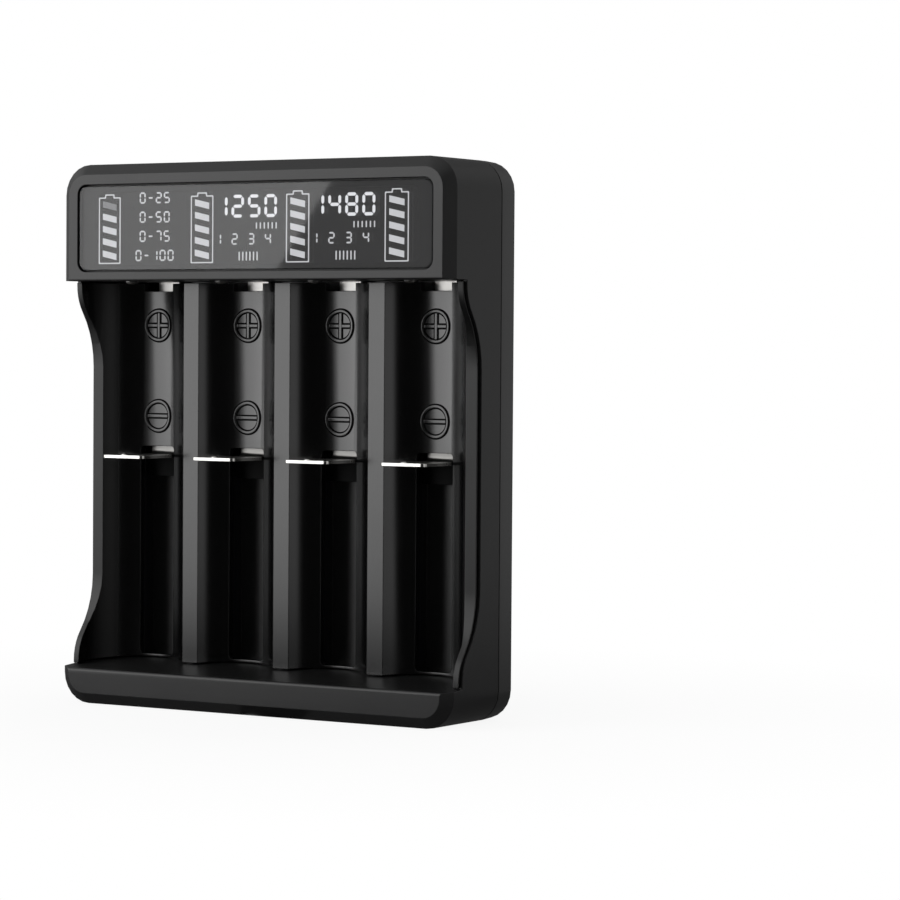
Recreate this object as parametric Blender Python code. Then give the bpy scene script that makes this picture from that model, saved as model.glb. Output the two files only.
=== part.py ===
"""Upright four-bay charger for round cells, with a display head and sprung sliding contacts.

The frame is +X to the right, +Y to the back and +Z up. The origin is under the middle of the
foot. Depths run from the flat front face towards the back. Sizes are real, in metres.
"""
import math

import bmesh
import bpy
from mathutils import Matrix, Vector

MM = 0.001

# Clearances
CLEAR = 0.3 * MM
CUT_OVER = 1.0 * MM

# Battery bays: half-round troughs side by side, with flat ridges between them
BAY_COUNT = 4
BAY_PITCH = 21.9 * MM
BAY_EDGE = 1.95 * MM
BAY_LENGTH = 76.95 * MM
TROUGH_RADIUS = 11.6 * MM
RIDGE_WIDTH = 3.6 * MM
RIDGE_DEPTH = 11.3 * MM
TRAY_WALL = 1.3 * MM
TRAY_SIDE_WALL = 0.56 * MM
TRAY_SIDE_RIB = 1.1 * MM
RIM_OVERHANG = 0.64 * MM
RIM_THICKNESS = 0.5 * MM

# Slot that the sliding contact runs in, and the notch for the upper contact's leg
SLOT_WIDTH = 8.2 * MM
SLOT_FLOOR_WEB = 0.3 * MM
SLOT_HEADROOM = 1.6 * MM
SLOT_END_SPARE = 3.8 * MM
SLOT_CORNER = 0.8 * MM
NOTCH_WIDTH = 7.0 * MM
NOTCH_HEIGHT = 1.55 * MM

# Side walls: their front edge sweeps back between the head and the ledge
FLANK_HEAD_DEPTH = 4.7 * MM
FLANK_MID_DEPTH = 10.1 * MM
FLANK_LEDGE_DEPTH = 4.0 * MM
FLANK_NEAR_RADIUS = 9.0 * MM
FLANK_FAR_RADIUS = 18.0 * MM
FLANK_HEAD_RUN = 0.8 * MM
FLANK_LEDGE_RUN = 1.2 * MM

# Display head and ledge
HEAD_HEIGHT = 23.0 * MM
LEDGE_HEIGHT = 7.05 * MM
LEDGE_SLOPE = 0.085
LEDGE_EDGE_ROUND = 0.6 * MM
HEAD_EDGE_ROUND = 0.35 * MM
CORNER_RADIUS = 6.0 * MM
CHAMFER_WIDTH = 2.1 * MM
CHAMFER_DEPTH = 1.7 * MM
FRONT_WALL = 2.6 * MM
OUTER_WALL = 1.6 * MM
SKIN_WALL = 0.8 * MM
HEAD_FLOOR_WALL = 1.6 * MM
LEDGE_TOP_WALL = 1.3 * MM
SMALL_CORNER = 0.3 * MM

# Display stack in the head
WINDOW_TOP_MARGIN = 4.0 * MM
WINDOW_LOW_MARGIN = 1.7 * MM
WINDOW_SIDE_MARGIN = 4.15 * MM
WINDOW_CORNER = 2.0 * MM
WINDOW_THICKNESS = 1.2 * MM
WINDOW_SINK = 0.1 * MM
WINDOW_EDGE = 0.2 * MM
SEAT_SIDE = 4.0 * MM
SEAT_EDGE = 1.5 * MM
LCD_LAP = 0.9 * MM
LCD_THICKNESS = 2.6 * MM
BACKLIGHT_THICKNESS = 2.0 * MM
CONNECTOR_HEIGHT = 1.6 * MM
BOARD_THICKNESS = 1.6 * MM
BOARD_EDGE = 4.0 * MM
BOARD_TOP_GAP = 0.9 * MM
BOARD_RIB_LAP = 3.3 * MM

# Upper (positive) contacts: sheet metal under the head
POSITIVE_SHEET = 0.5 * MM
POSITIVE_WIDTH = 8.0 * MM
POSITIVE_FRONT = 4.2 * MM
POSITIVE_CORNER = 1.0 * MM
POSITIVE_DIMPLE_DEPTH = 6.3 * MM
POSITIVE_DIMPLE_RADIUS = 1.4 * MM
POSITIVE_DIMPLE_RISE = 0.8 * MM
POSITIVE_LEG_WIDTH = 5.0 * MM
POSITIVE_LEG_LENGTH = 2.4 * MM
POSITIVE_LEG_REACH = 1.6 * MM
SOLDER_TAB_WIDTH = 2.2 * MM
SOLDER_TAB_HEIGHT = 4.5 * MM

# Sliding (negative) contacts
NEGATIVE_SHEET = 0.6 * MM
NEGATIVE_WIDTH = 10.2 * MM
NEGATIVE_FRONT = 3.3 * MM
NEGATIVE_WIDE_BACK = 13.6 * MM
NEGATIVE_NECK = 6.2 * MM
NEGATIVE_CORNER = 1.0 * MM
NEGATIVE_BEND = 0.8 * MM
NEGATIVE_BEND_STEPS = 4
NEGATIVE_REST_DROP = 34.5 * MM
NEGATIVE_FLANGE = 5.6 * MM
NEGATIVE_DIMPLE_SETBACK = 1.0 * MM
NEGATIVE_DIMPLE_RADIUS = 0.8 * MM
NEGATIVE_DIMPLE_RISE = 0.45 * MM
CARRIAGE_WIDTH = 10.4 * MM
CARRIAGE_THICKNESS = 2.7 * MM
CARRIAGE_DROP = 3.9 * MM
CARRIAGE_CORNER = 1.0 * MM
RIVET_RADIUS = 0.8 * MM
RIVET_HEAD_RADIUS = 1.3 * MM
RIVET_HEAD_HEIGHT = 0.6 * MM
RIVET_RISE = 2.8 * MM

# Rails, springs and their terminals
RAIL_WIDTH = 1.0 * MM
RAIL_HEIGHT = 3.0 * MM
RAIL_RUN_OUT = 1.5 * MM
SPRING_RADIUS = 1.3 * MM
SPRING_WIRE = 0.25 * MM
SPRING_TURNS = 9
SPRING_TURN_STEPS = 7
SPRING_TAIL = 1.2 * MM
SPRING_STRAIGHT = 0.95 * MM
TERMINAL_SHEET = 0.5 * MM
TERMINAL_WIDTH = 3.0 * MM
TERMINAL_DROP = 3.9 * MM
TERMINAL_LIFT = 0.6 * MM

# Rear cover
COVER_WALL = 1.6 * MM
COVER_ROUND = 3.5 * MM
COVER_ROUND_STEPS = 5
COVER_TAB_WIDTH = 8.0 * MM
COVER_TAB_SHEET = 0.8 * MM
COVER_TAB_REACH = 1.6 * MM
COVER_TAB_PITCH = 30.0 * MM
VENT_COUNT = 11
VENT_PITCH = 3.2 * MM
VENT_WIDTH = 1.5 * MM
VENT_HEIGHT = 12.0 * MM

# Screws
BOSS_RADIUS = 2.1 * MM
PILOT_RADIUS = 1.1 * MM
SCREW_RADIUS = 0.8 * MM
SCREW_HEAD_RADIUS = 1.8 * MM
SCREW_HEAD_HEIGHT = 1.2 * MM
SCREW_LENGTH = 7.0 * MM
SCREW_WELL_WALL = 0.9 * MM
SCREW_WELL_FLOOR = 2.0 * MM
SCREW_SLOT_WIDTH = 0.5 * MM
SCREW_SLOT_LENGTH = 2.0 * MM
SCREW_SLOT_DEPTH = 0.6 * MM
CORNER_SCREW_INSET = 4.25 * MM
TRAY_SCREW_INSET = 7.0 * MM
TRAY_SCREW_TOP = 11.5 * MM
BOARD_SCREW_LENGTH = 4.0 * MM
BOARD_SCREW_HEAD_RADIUS = 1.3 * MM
BOARD_SCREW_HEAD_HEIGHT = 0.9 * MM
BOARD_SCREW_RADIUS = 0.6 * MM
BOARD_SCREW_SPREAD = 5.5 * MM
BOARD_SCREW_INSET = 5.75 * MM

# Parts on the board
USB_WIDTH = 8.94 * MM
USB_HEIGHT = 3.26 * MM
USB_LENGTH = 7.35 * MM
USB_SINK = 0.4 * MM
USB_SHELL = 0.3 * MM
USB_MOUTH = 6.2 * MM
USB_TONGUE_WIDTH = 6.7 * MM
USB_TONGUE_THICKNESS = 0.7 * MM
CHIP_LENGTH = 10.0 * MM
CHIP_WIDTH = 6.2 * MM
CHIP_HEIGHT = 1.5 * MM
CHIP_PINS = 8
CHIP_PIN_PITCH = 1.2 * MM
CHIP_PIN_WIDTH = 0.45 * MM
CHIP_PIN_REACH = 1.0 * MM
CHIP_PIN_HEIGHT = 0.35 * MM
CHIP_OFFSET = -20.0 * MM
INDUCTOR_SIZE = 7.3 * MM
INDUCTOR_HEIGHT = 3.4 * MM
INDUCTOR_CORNER = 1.0 * MM
INDUCTOR_OFFSET = 12.5 * MM
CAPACITOR_RADIUS = 2.5 * MM
CAPACITOR_HEIGHT = 5.4 * MM
CAPACITOR_BEAD = 0.3 * MM
CAPACITOR_BEAD_HEIGHT = 1.1 * MM
CAPACITOR_OFFSETS = (22.0 * MM, 29.0 * MM)

# Facets on round forms
CORNER_STEPS = 6
TROUGH_STEPS = 20
TROUGH_BACK_STEPS = 12
FLANK_STEPS = 5
ROUND_STEPS = 16
SMALL_ROUND_STEPS = 10
SMOOTH_ANGLE = math.radians(32)
SAME_POINT = 0.001 * MM
WELD = 0.0005 * MM

# Sizes that follow
WIDTH = BAY_COUNT * BAY_PITCH + 2 * BAY_EDGE
HEAD_Z = LEDGE_HEIGHT + BAY_LENGTH
HEIGHT = HEAD_Z + HEAD_HEIGHT
HALF_WIDTH = WIDTH / 2
BAY_HALF_OPENING = (BAY_PITCH - RIDGE_WIDTH) / 2
TROUGH_AXIS_DEPTH = RIDGE_DEPTH - math.sqrt(TROUGH_RADIUS ** 2 - BAY_HALF_OPENING ** 2)
TROUGH_BACK = TROUGH_AXIS_DEPTH + TROUGH_RADIUS + TRAY_WALL
FLANGE_FRONT = TROUGH_BACK + CLEAR
CARRIAGE_FRONT = FLANGE_FRONT + NEGATIVE_SHEET + CLEAR
COVER_INNER = CARRIAGE_FRONT + CARRIAGE_THICKNESS + CLEAR
DEPTH = COVER_INNER + COVER_WALL
PARTING_DEPTH = FLANGE_FRONT + CLEAR
COVER_FRONT = PARTING_DEPTH + CLEAR
TRAY_HALF_WIDTH = HALF_WIDTH - SKIN_WALL - CLEAR
SKIN_SETBACK = RIM_THICKNESS + CLEAR

HEAD_CAVITY_Z = HEAD_Z + HEAD_FLOOR_WALL
TOP_INNER_Z = HEIGHT - OUTER_WALL
WINDOW_LOW = HEAD_Z + WINDOW_LOW_MARGIN
WINDOW_HIGH = HEIGHT - WINDOW_TOP_MARGIN
WINDOW_MID = (WINDOW_LOW + WINDOW_HIGH) / 2
WINDOW_HALF = HALF_WIDTH - WINDOW_SIDE_MARGIN
WINDOW_RECESS = WINDOW_SINK + WINDOW_THICKNESS + CLEAR
SIGHT_HALF = WINDOW_HALF - SEAT_SIDE
SIGHT_LOW = WINDOW_LOW + SEAT_EDGE
SIGHT_HIGH = WINDOW_HIGH - SEAT_EDGE
LCD_FRONT = FRONT_WALL + CLEAR
LCD_BACK = LCD_FRONT + LCD_THICKNESS
BACKLIGHT_FRONT = LCD_BACK + CLEAR
BACKLIGHT_BACK = BACKLIGHT_FRONT + BACKLIGHT_THICKNESS
BOARD_FRONT = BACKLIGHT_BACK + CLEAR
BOARD_BACK = BOARD_FRONT + BOARD_THICKNESS
BOARD_LOW = HEAD_CAVITY_Z + CLEAR
BOARD_HIGH = TOP_INNER_Z - BOARD_TOP_GAP
BOARD_HALF = HALF_WIDTH - BOARD_EDGE
MOUNTED_FACE = BOARD_BACK + CLEAR

SCREW_WELL_RADIUS = SCREW_HEAD_RADIUS + CLEAR
CORNER_SCREW_X = HALF_WIDTH - CORNER_SCREW_INSET
LEDGE_SCREW_Z = OUTER_WALL + BOSS_RADIUS + 2 * CLEAR
NEGATIVE_REST_TOP = HEAD_Z - NEGATIVE_REST_DROP
NEGATIVE_BOTTOM = NEGATIVE_REST_TOP - NEGATIVE_SHEET
SLOT_LOW = LEDGE_HEIGHT + LEDGE_SLOPE * TROUGH_BACK + CLEAR + SLOT_FLOOR_WEB
SLOT_HIGH = NEGATIVE_REST_TOP + SLOT_HEADROOM
SLIDER_TRAVEL = NEGATIVE_BOTTOM - SLOT_LOW - SLOT_END_SPARE
SCREW_SEAT = COVER_FRONT + SCREW_WELL_FLOOR + CLEAR
PILOT_START = SCREW_SEAT - SCREW_LENGTH - CLEAR
FLANGE_BACK = FLANGE_FRONT + NEGATIVE_SHEET
CARRIAGE_BACK = CARRIAGE_FRONT + CARRIAGE_THICKNESS
CARRIAGE_TOP = NEGATIVE_BOTTOM + NEGATIVE_FLANGE
CARRIAGE_LOW = NEGATIVE_BOTTOM - CARRIAGE_DROP
RIVET_Z = NEGATIVE_REST_TOP + RIVET_RISE
TERMINAL_LOW = HEAD_Z - TERMINAL_DROP
SPRING_DEPTH = (CARRIAGE_FRONT + CARRIAGE_BACK) / 2
POSITIVE_TOP = HEAD_Z + POSITIVE_SHEET
POSITIVE_LEG_DEPTH = TROUGH_BACK + POSITIVE_LEG_REACH


def y_at(depth):
    """World Y of a depth behind the flat front face."""
    return depth - DEPTH / 2


def ledge_top(depth):
    """Height of the bays' floor, which rises gently to the back."""
    return LEDGE_HEIGHT + LEDGE_SLOPE * depth


def bay_centres():
    """X of each bay's centre line, from left to right."""
    middle = (BAY_COUNT - 1) / 2
    return [(index - middle) * BAY_PITCH for index in range(BAY_COUNT)]


def arc(centre, radius, start, end, steps):
    """Points on an arc, ends included, as pairs."""
    points = []
    for index in range(steps + 1):
        angle = start + (end - start) * index / steps
        points.append((centre[0] + radius * math.cos(angle), centre[1] + radius * math.sin(angle)))
    return points


def rounded_outline(half_width, low, high, low_radius, high_radius, steps=CORNER_STEPS):
    """Rectangle about x = 0 whose lower and upper corners have their own radii."""
    quarter = math.pi / 2
    points = []
    points += arc((half_width - low_radius, low + low_radius), low_radius, -quarter, 0, steps)
    points += arc((half_width - high_radius, high - high_radius), high_radius, 0, quarter, steps)
    points += arc((-half_width + high_radius, high - high_radius), high_radius, quarter, 2 * quarter, steps)
    points += arc((-half_width + low_radius, low + low_radius), low_radius, 2 * quarter, 3 * quarter, steps)
    return [point for index, point in enumerate(points) if math.dist(point, points[index - 1]) > SAME_POINT]


def shifted(outline, across):
    """The outline moved along its first axis."""
    return [(point[0] + across, point[1]) for point in outline]


def loft(loops):
    """Closed body through loops of equally many points, capped at both ends."""
    bm = bmesh.new()
    rings = [[bm.verts.new(point) for point in loop] for loop in loops]
    for ring, following in zip(rings, rings[1:]):
        for index, vert in enumerate(ring):
            after = (index + 1) % len(ring)
            bm.faces.new((vert, ring[after], following[after], following[index]))
    bm.faces.new(rings[0])
    bm.faces.new(rings[-1])
    bmesh.ops.recalc_face_normals(bm, faces=bm.faces)
    return bm


def prism_x(outline, start, end):
    """Prism along X over an outline of (depth, z) pairs."""
    return loft([[(x, y_at(point[0]), point[1]) for point in outline] for x in (start, end)])


def prism_y(outline, start, end):
    """Prism from one depth to another over an outline of (x, z) pairs."""
    return loft([[(point[0], y_at(depth), point[1]) for point in outline] for depth in (start, end)])


def prism_z(outline, start, end):
    """Prism along Z over an outline of (x, depth) pairs."""
    return loft([[(point[0], y_at(point[1]), z) for point in outline] for z in (start, end)])


def box(x_range, depth_range, z_range):
    """Box between two values on each axis."""
    left, right = x_range
    low, high = z_range
    return prism_y([(left, low), (right, low), (right, high), (left, high)], *depth_range)


def turned(profile, steps):
    """Body turned about the Z axis from (radius, z) pairs; a radius of zero closes an end."""
    bm = bmesh.new()
    rings = []
    for radius, height in profile:
        if radius == 0:
            rings.append([bm.verts.new((0, 0, height))])
            continue
        rings.append([bm.verts.new((x, y, height)) for x, y in arc((0, 0), radius, 0, math.tau, steps)[:-1]])
    for ring, following in zip(rings, rings[1:]):
        for index in range(steps):
            after = (index + 1) % steps
            corners = [ring[index % len(ring)], ring[after % len(ring)]]
            corners += [following[after % len(following)], following[index % len(following)]]
            bm.faces.new(list(dict.fromkeys(corners)))
    bmesh.ops.recalc_face_normals(bm, faces=bm.faces)
    return bm


def placed(bm, x, depth, z, turn=None):
    """The body moved to a point, after a turn that takes its Z axis elsewhere."""
    if turn is not None:
        bm.transform(turn)
    bm.transform(Matrix.Translation((x, y_at(depth), z)))
    return bm


FACE_BACK = Matrix.Rotation(-math.pi / 2, 4, "X")


def rod_y(x, z, radius, start, end, steps=ROUND_STEPS):
    """Round bar from one depth to another."""
    rod = turned([(0, 0), (radius, 0), (radius, end - start), (0, end - start)], steps)
    return placed(rod, x, start, z, FACE_BACK)


def cap_z(radius, rise, foot, steps=SMALL_ROUND_STEPS, rings=4):
    """Pressed dimple standing on z = 0, with a foot that reaches below it."""
    profile = [(0, -foot), (radius, -foot)]
    for index in range(rings):
        angle = math.pi / 2 * index / rings
        profile.append((radius * math.cos(angle), rise * math.sin(angle)))
    profile.append((0, rise))
    return turned(profile, steps)


def mesh_object(name, bm):
    """Object that holds the body's mesh and nothing else."""
    mesh = bpy.data.meshes.new(name)
    bm.to_mesh(mesh)
    bm.free()
    made = bpy.data.objects.new(name, mesh)
    bpy.context.scene.collection.objects.link(made)
    return made


def merged(bodies):
    """One mesh of several bodies that don't touch each other."""
    joined = bmesh.new()
    scratch = bpy.data.meshes.new("scratch")
    for body in bodies:
        body.to_mesh(scratch)
        body.free()
        joined.from_mesh(scratch)
    bpy.data.meshes.remove(scratch)
    return joined


def boolean(target, operation, bodies):
    """Applies one exact Boolean to the target with bodies that are clear of each other."""
    tool = mesh_object("tool", merged(bodies))
    step = target.modifiers.new("step", "BOOLEAN")
    step.operation = operation
    step.solver = "EXACT"
    step.object = tool
    result = bpy.data.meshes.new_from_object(target.evaluated_get(bpy.context.evaluated_depsgraph_get()))
    welded = bmesh.new()
    welded.from_mesh(result)
    bmesh.ops.remove_doubles(welded, verts=welded.verts, dist=WELD)
    bmesh.ops.dissolve_degenerate(welded, edges=welded.edges, dist=WELD)
    welded.to_mesh(result)
    welded.free()
    target.modifiers.clear()
    old, tool_mesh = target.data, tool.data
    target.data = result
    bpy.data.objects.remove(tool)
    bpy.data.meshes.remove(old)
    bpy.data.meshes.remove(tool_mesh)
    result.name = target.name


def cut(target, *bodies):
    """Takes the bodies out of the target."""
    boolean(target, "DIFFERENCE", bodies)


def join(target, *bodies):
    """Joins the bodies to the target, one by one, as they may meet each other."""
    for body in bodies:
        boolean(target, "UNION", [body])


def material(name, colour, roughness, metallic=0.0, alpha=1.0):
    """Principled material with plain values."""
    made = bpy.data.materials.new(name)
    made.use_nodes = True
    shader = made.node_tree.nodes["Principled BSDF"]
    shader.inputs["Base Color"].default_value = (*colour, 1.0)
    shader.inputs["Roughness"].default_value = roughness
    shader.inputs["Metallic"].default_value = metallic
    shader.inputs["Alpha"].default_value = alpha
    return made


def finish(made, surface, parent, origin=(0, 0, 0)):
    """Gives the piece its material, its origin, smooth round faces and its parent."""
    made.data.transform(Matrix.Translation(-Vector(origin)))
    made.data.materials.clear()
    made.data.materials.append(surface)
    made.data.shade_smooth()
    made.data.set_sharp_from_angle(angle=SMOOTH_ANGLE)
    made.parent = parent
    made.location = Vector(origin) - parent.matrix_world.translation
    return made


def empty(name, location=(0, 0, 0), parent=None):
    """Empty that carries pieces."""
    made = bpy.data.objects.new(name, None)
    bpy.context.scene.collection.objects.link(made)
    made.location = location
    made.parent = parent
    bpy.context.view_layer.update()
    return made


def flank_end(near_depth, run_z, sign):
    """Half of the side wall's edge: straight, then two arcs that meet at a common slope.

    It starts at height run_z and depth near_depth and sweeps back to FLANK_MID_DEPTH.
    The sign is -1 where it runs down from the head and 1 where it runs up from the ledge.
    """
    near, far = FLANK_NEAR_RADIUS, FLANK_FAR_RADIUS
    sweep = math.acos(1 - (FLANK_MID_DEPTH - near_depth) / (near + far))
    points = []
    for index in range(FLANK_STEPS + 1):
        angle = sweep * index / FLANK_STEPS
        points.append((near_depth + near * (1 - math.cos(angle)), run_z + sign * near * math.sin(angle)))
    end_z = run_z + sign * (near + far) * math.sin(sweep)
    for index in range(1, FLANK_STEPS + 1):
        angle = sweep * (1 - index / FLANK_STEPS)
        points.append((FLANK_MID_DEPTH - far * (1 - math.cos(angle)), end_z - sign * far * math.sin(angle)))
    return points


def flank_edge(setback):
    """The side wall's whole front edge from head to ledge, moved back by the setback."""
    upper = flank_end(FLANK_HEAD_DEPTH, HEAD_Z - FLANK_HEAD_RUN, -1)
    lower = flank_end(FLANK_LEDGE_DEPTH, LEDGE_HEIGHT + FLANK_LEDGE_RUN, 1)
    return [(depth + setback, z) for depth, z in upper + lower[::-1]]


def flank_opening():
    """Outline of the space in front of the skins, with the head's and ledge's rounded edges."""
    edge = flank_edge(SKIN_SETBACK)
    head_round, ledge_round = HEAD_EDGE_ROUND, LEDGE_EDGE_ROUND
    quarter = math.pi / 2
    outline = [(-CUT_OVER, HEAD_Z + head_round)]
    outline += arc((head_round, HEAD_Z + head_round), head_round, math.pi, 3 * quarter, 3)
    outline.append((edge[0][0], HEAD_Z))
    outline += edge
    outline.append((edge[-1][0], ledge_top(edge[-1][0])))
    corner = (ledge_round, ledge_top(ledge_round) - ledge_round)
    outline += arc(corner, ledge_round, quarter, math.pi, 4)
    outline.append((-CUT_OVER, corner[1]))
    return outline


def shell_loops(sections):
    """Loops of the housing's rounded outline from (depth, inset) pairs."""
    loops = []
    for depth, inset in sections:
        radius = CORNER_RADIUS - inset
        outline = rounded_outline(HALF_WIDTH - inset, inset, HEIGHT - inset, radius, radius)
        loops.append([(x, y_at(depth), z) for x, z in outline])
    return loops


def corner_screw_places():
    """(x, z) of the four screws that join cover and front shell."""
    return [(side * CORNER_SCREW_X, z) for z in (LEDGE_SCREW_Z, WINDOW_MID) for side in (-1, 1)]


def tray_screw_places():
    """(x, z) of the four screws that join cover and tray, behind the outer two ridges."""
    reach = BAY_PITCH * (BAY_COUNT / 2 - 1)
    heights = (LEDGE_HEIGHT + TRAY_SCREW_INSET, HEAD_Z - TRAY_SCREW_TOP)
    return [(side * reach, z) for z in heights for side in (-1, 1)]


def board_screw_places():
    """(x, z) of the four screws that hold the board on the shell's ribs."""
    reach = HALF_WIDTH - BOARD_SCREW_INSET
    heights = (WINDOW_MID - BOARD_SCREW_SPREAD, WINDOW_MID + BOARD_SCREW_SPREAD)
    return [(side * reach, z) for z in heights for side in (-1, 1)]


def board_screw_holes(start, end):
    """Clearance holes for the board's screws, from one depth to another."""
    radius = BOARD_SCREW_RADIUS + CLEAR
    return [rod_y(x, z, radius, start, end, SMALL_ROUND_STEPS) for x, z in board_screw_places()]


def usb_depth():
    """Depth of the inlet's middle: it sits on the board's back."""
    return MOUNTED_FACE + USB_HEIGHT / 2


def usb_outline(grow=0.0):
    """Stadium of the inlet in (x, depth) pairs, grown all round."""
    radius = USB_HEIGHT / 2 + grow
    middle = usb_depth()
    return rounded_outline(USB_WIDTH / 2 + grow, middle - radius, middle + radius, radius, radius)


def solder_tab_range():
    """X range of the upper contact's solder tab, from the bay's centre."""
    return -POSITIVE_WIDTH / 2, -POSITIVE_WIDTH / 2 + SOLDER_TAB_WIDTH


def make_front_shell(surface, root):
    """Front shell: display head, ledge and thin side skins with a swept front edge."""
    sections = [(0, CHAMFER_WIDTH), (CHAMFER_DEPTH, 0), (PARTING_DEPTH, 0)]
    shell = mesh_object("front_shell", loft(shell_loops(sections)))
    inner_half = HALF_WIDTH - OUTER_WALL
    inner_radius = CORNER_RADIUS - OUTER_WALL
    back = PARTING_DEPTH + CUT_OVER
    ledge_ceiling = LEDGE_HEIGHT - LEDGE_TOP_WALL
    ledge_radius = ledge_ceiling - OUTER_WALL - SMALL_CORNER
    head_room = rounded_outline(inner_half, HEAD_CAVITY_Z, TOP_INNER_Z, SMALL_CORNER, inner_radius)
    ledge_room = rounded_outline(inner_half, OUTER_WALL, ledge_ceiling, ledge_radius, SMALL_CORNER)
    cut(shell, prism_y(head_room, FRONT_WALL, back), prism_y(ledge_room, FRONT_WALL, back))
    cut(shell, prism_x(flank_opening(), -WIDTH, WIDTH))
    side_room = TRAY_HALF_WIDTH + CLEAR
    edge = flank_edge(SKIN_SETBACK)
    head_start, ledge_start, halfway = edge[0][0], edge[-1][0], (HEAD_Z + LEDGE_HEIGHT) / 2
    middle = [(head_start, HEAD_Z), (head_start, halfway), (ledge_start, halfway)]
    middle += [(ledge_start, ledge_top(ledge_start)), (back, ledge_top(back)), (back, HEAD_Z)]
    cut(shell, prism_x(middle, -side_room, side_room))

    window = rounded_outline(WINDOW_HALF, WINDOW_LOW, WINDOW_HIGH, WINDOW_CORNER, WINDOW_CORNER)
    sight = rounded_outline(SIGHT_HALF, SIGHT_LOW, SIGHT_HIGH, SEAT_EDGE, SEAT_EDGE)
    cut(shell, prism_y(window, -CUT_OVER, WINDOW_RECESS))
    cut(shell, prism_y(sight, WINDOW_RECESS - CLEAR, FRONT_WALL + CUT_OVER))

    rib_inner = BOARD_HALF - BOARD_RIB_LAP
    rib_depth = (FRONT_WALL - CLEAR, BOARD_FRONT - CLEAR)
    for side in (-1, 1):
        rib_x = sorted((side * rib_inner, side * (inner_half + CLEAR)))
        join(shell, box(rib_x, rib_depth, (SIGHT_LOW, SIGHT_HIGH)))
    for x, z in corner_screw_places():
        join(shell, rod_y(x, z, BOSS_RADIUS, FRONT_WALL - CLEAR, PARTING_DEPTH))
    cut(shell, *[rod_y(x, z, PILOT_RADIUS, PILOT_START, back) for x, z in corner_screw_places()])
    hole_start = rib_depth[1] - BOARD_SCREW_LENGTH
    cut(shell, *board_screw_holes(hole_start, BOARD_FRONT))

    pocket_half = POSITIVE_WIDTH / 2 + CLEAR
    tab_low, tab_high = solder_tab_range()
    pocket_depth = (POSITIVE_FRONT - CLEAR, back)
    pocket_z = (HEAD_Z - CUT_OVER, POSITIVE_TOP + CLEAR)
    slot_depth = (MOUNTED_FACE - CLEAR, MOUNTED_FACE + POSITIVE_SHEET + CLEAR)
    slot_z = (HEAD_Z, HEAD_CAVITY_Z + CUT_OVER)
    pockets = []
    slots = []
    for x in bay_centres():
        pockets.append(box((x - pocket_half, x + pocket_half), pocket_depth, pocket_z))
        slots.append(box((x + tab_low - CLEAR, x + tab_high + CLEAR), slot_depth, slot_z))
    cut(shell, *pockets)
    cut(shell, *slots)
    cut(shell, prism_z(usb_outline(CLEAR), TOP_INNER_Z - CUT_OVER, HEIGHT + CUT_OVER))
    return finish(shell, surface, root)


def tray_section():
    """The tray's cross-section in (x, depth): troughs and ridges in front, an even wall behind."""
    outer = TRAY_HALF_WIDTH + RIM_OVERHANG
    wall = TRAY_HALF_WIDTH - TRAY_SIDE_WALL
    fore = min(FLANK_HEAD_DEPTH, FLANK_LEDGE_DEPTH) - CUT_OVER
    centres = bay_centres()
    half_turn = math.asin(BAY_HALF_OPENING / TROUGH_RADIUS)
    wall_turn = math.asin(min((wall - centres[-1]) / TROUGH_RADIUS, 1.0))
    front = [(-outer, fore), (-wall, fore)]
    for index, x in enumerate(centres):
        left = wall_turn if index == 0 else half_turn
        right = wall_turn if index == BAY_COUNT - 1 else half_turn
        middle = math.pi / 2
        front += arc((x, TROUGH_AXIS_DEPTH), TROUGH_RADIUS, middle + left, middle - right, TROUGH_STEPS)
    front += [(wall, fore), (outer, fore)]

    back_radius = TROUGH_RADIUS + TRAY_WALL
    web_depth = RIDGE_DEPTH + TRAY_WALL
    rib = TRAY_HALF_WIDTH - TRAY_SIDE_RIB
    web_turn = math.acos((web_depth - TROUGH_AXIS_DEPTH) / back_radius)
    rib_turn = math.asin((rib - centres[-1]) / back_radius)
    back = [(outer, FLANGE_FRONT), (rib, FLANGE_FRONT)]
    for index, x in enumerate(centres[::-1]):
        right = rib_turn if index == 0 else web_turn
        left = rib_turn if index == BAY_COUNT - 1 else web_turn
        middle = math.pi / 2
        back += arc((x, TROUGH_AXIS_DEPTH), back_radius, middle - right, middle + left, TROUGH_BACK_STEPS)
    back += [(-rib, FLANGE_FRONT), (-outer, FLANGE_FRONT)]
    return front + back


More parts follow.
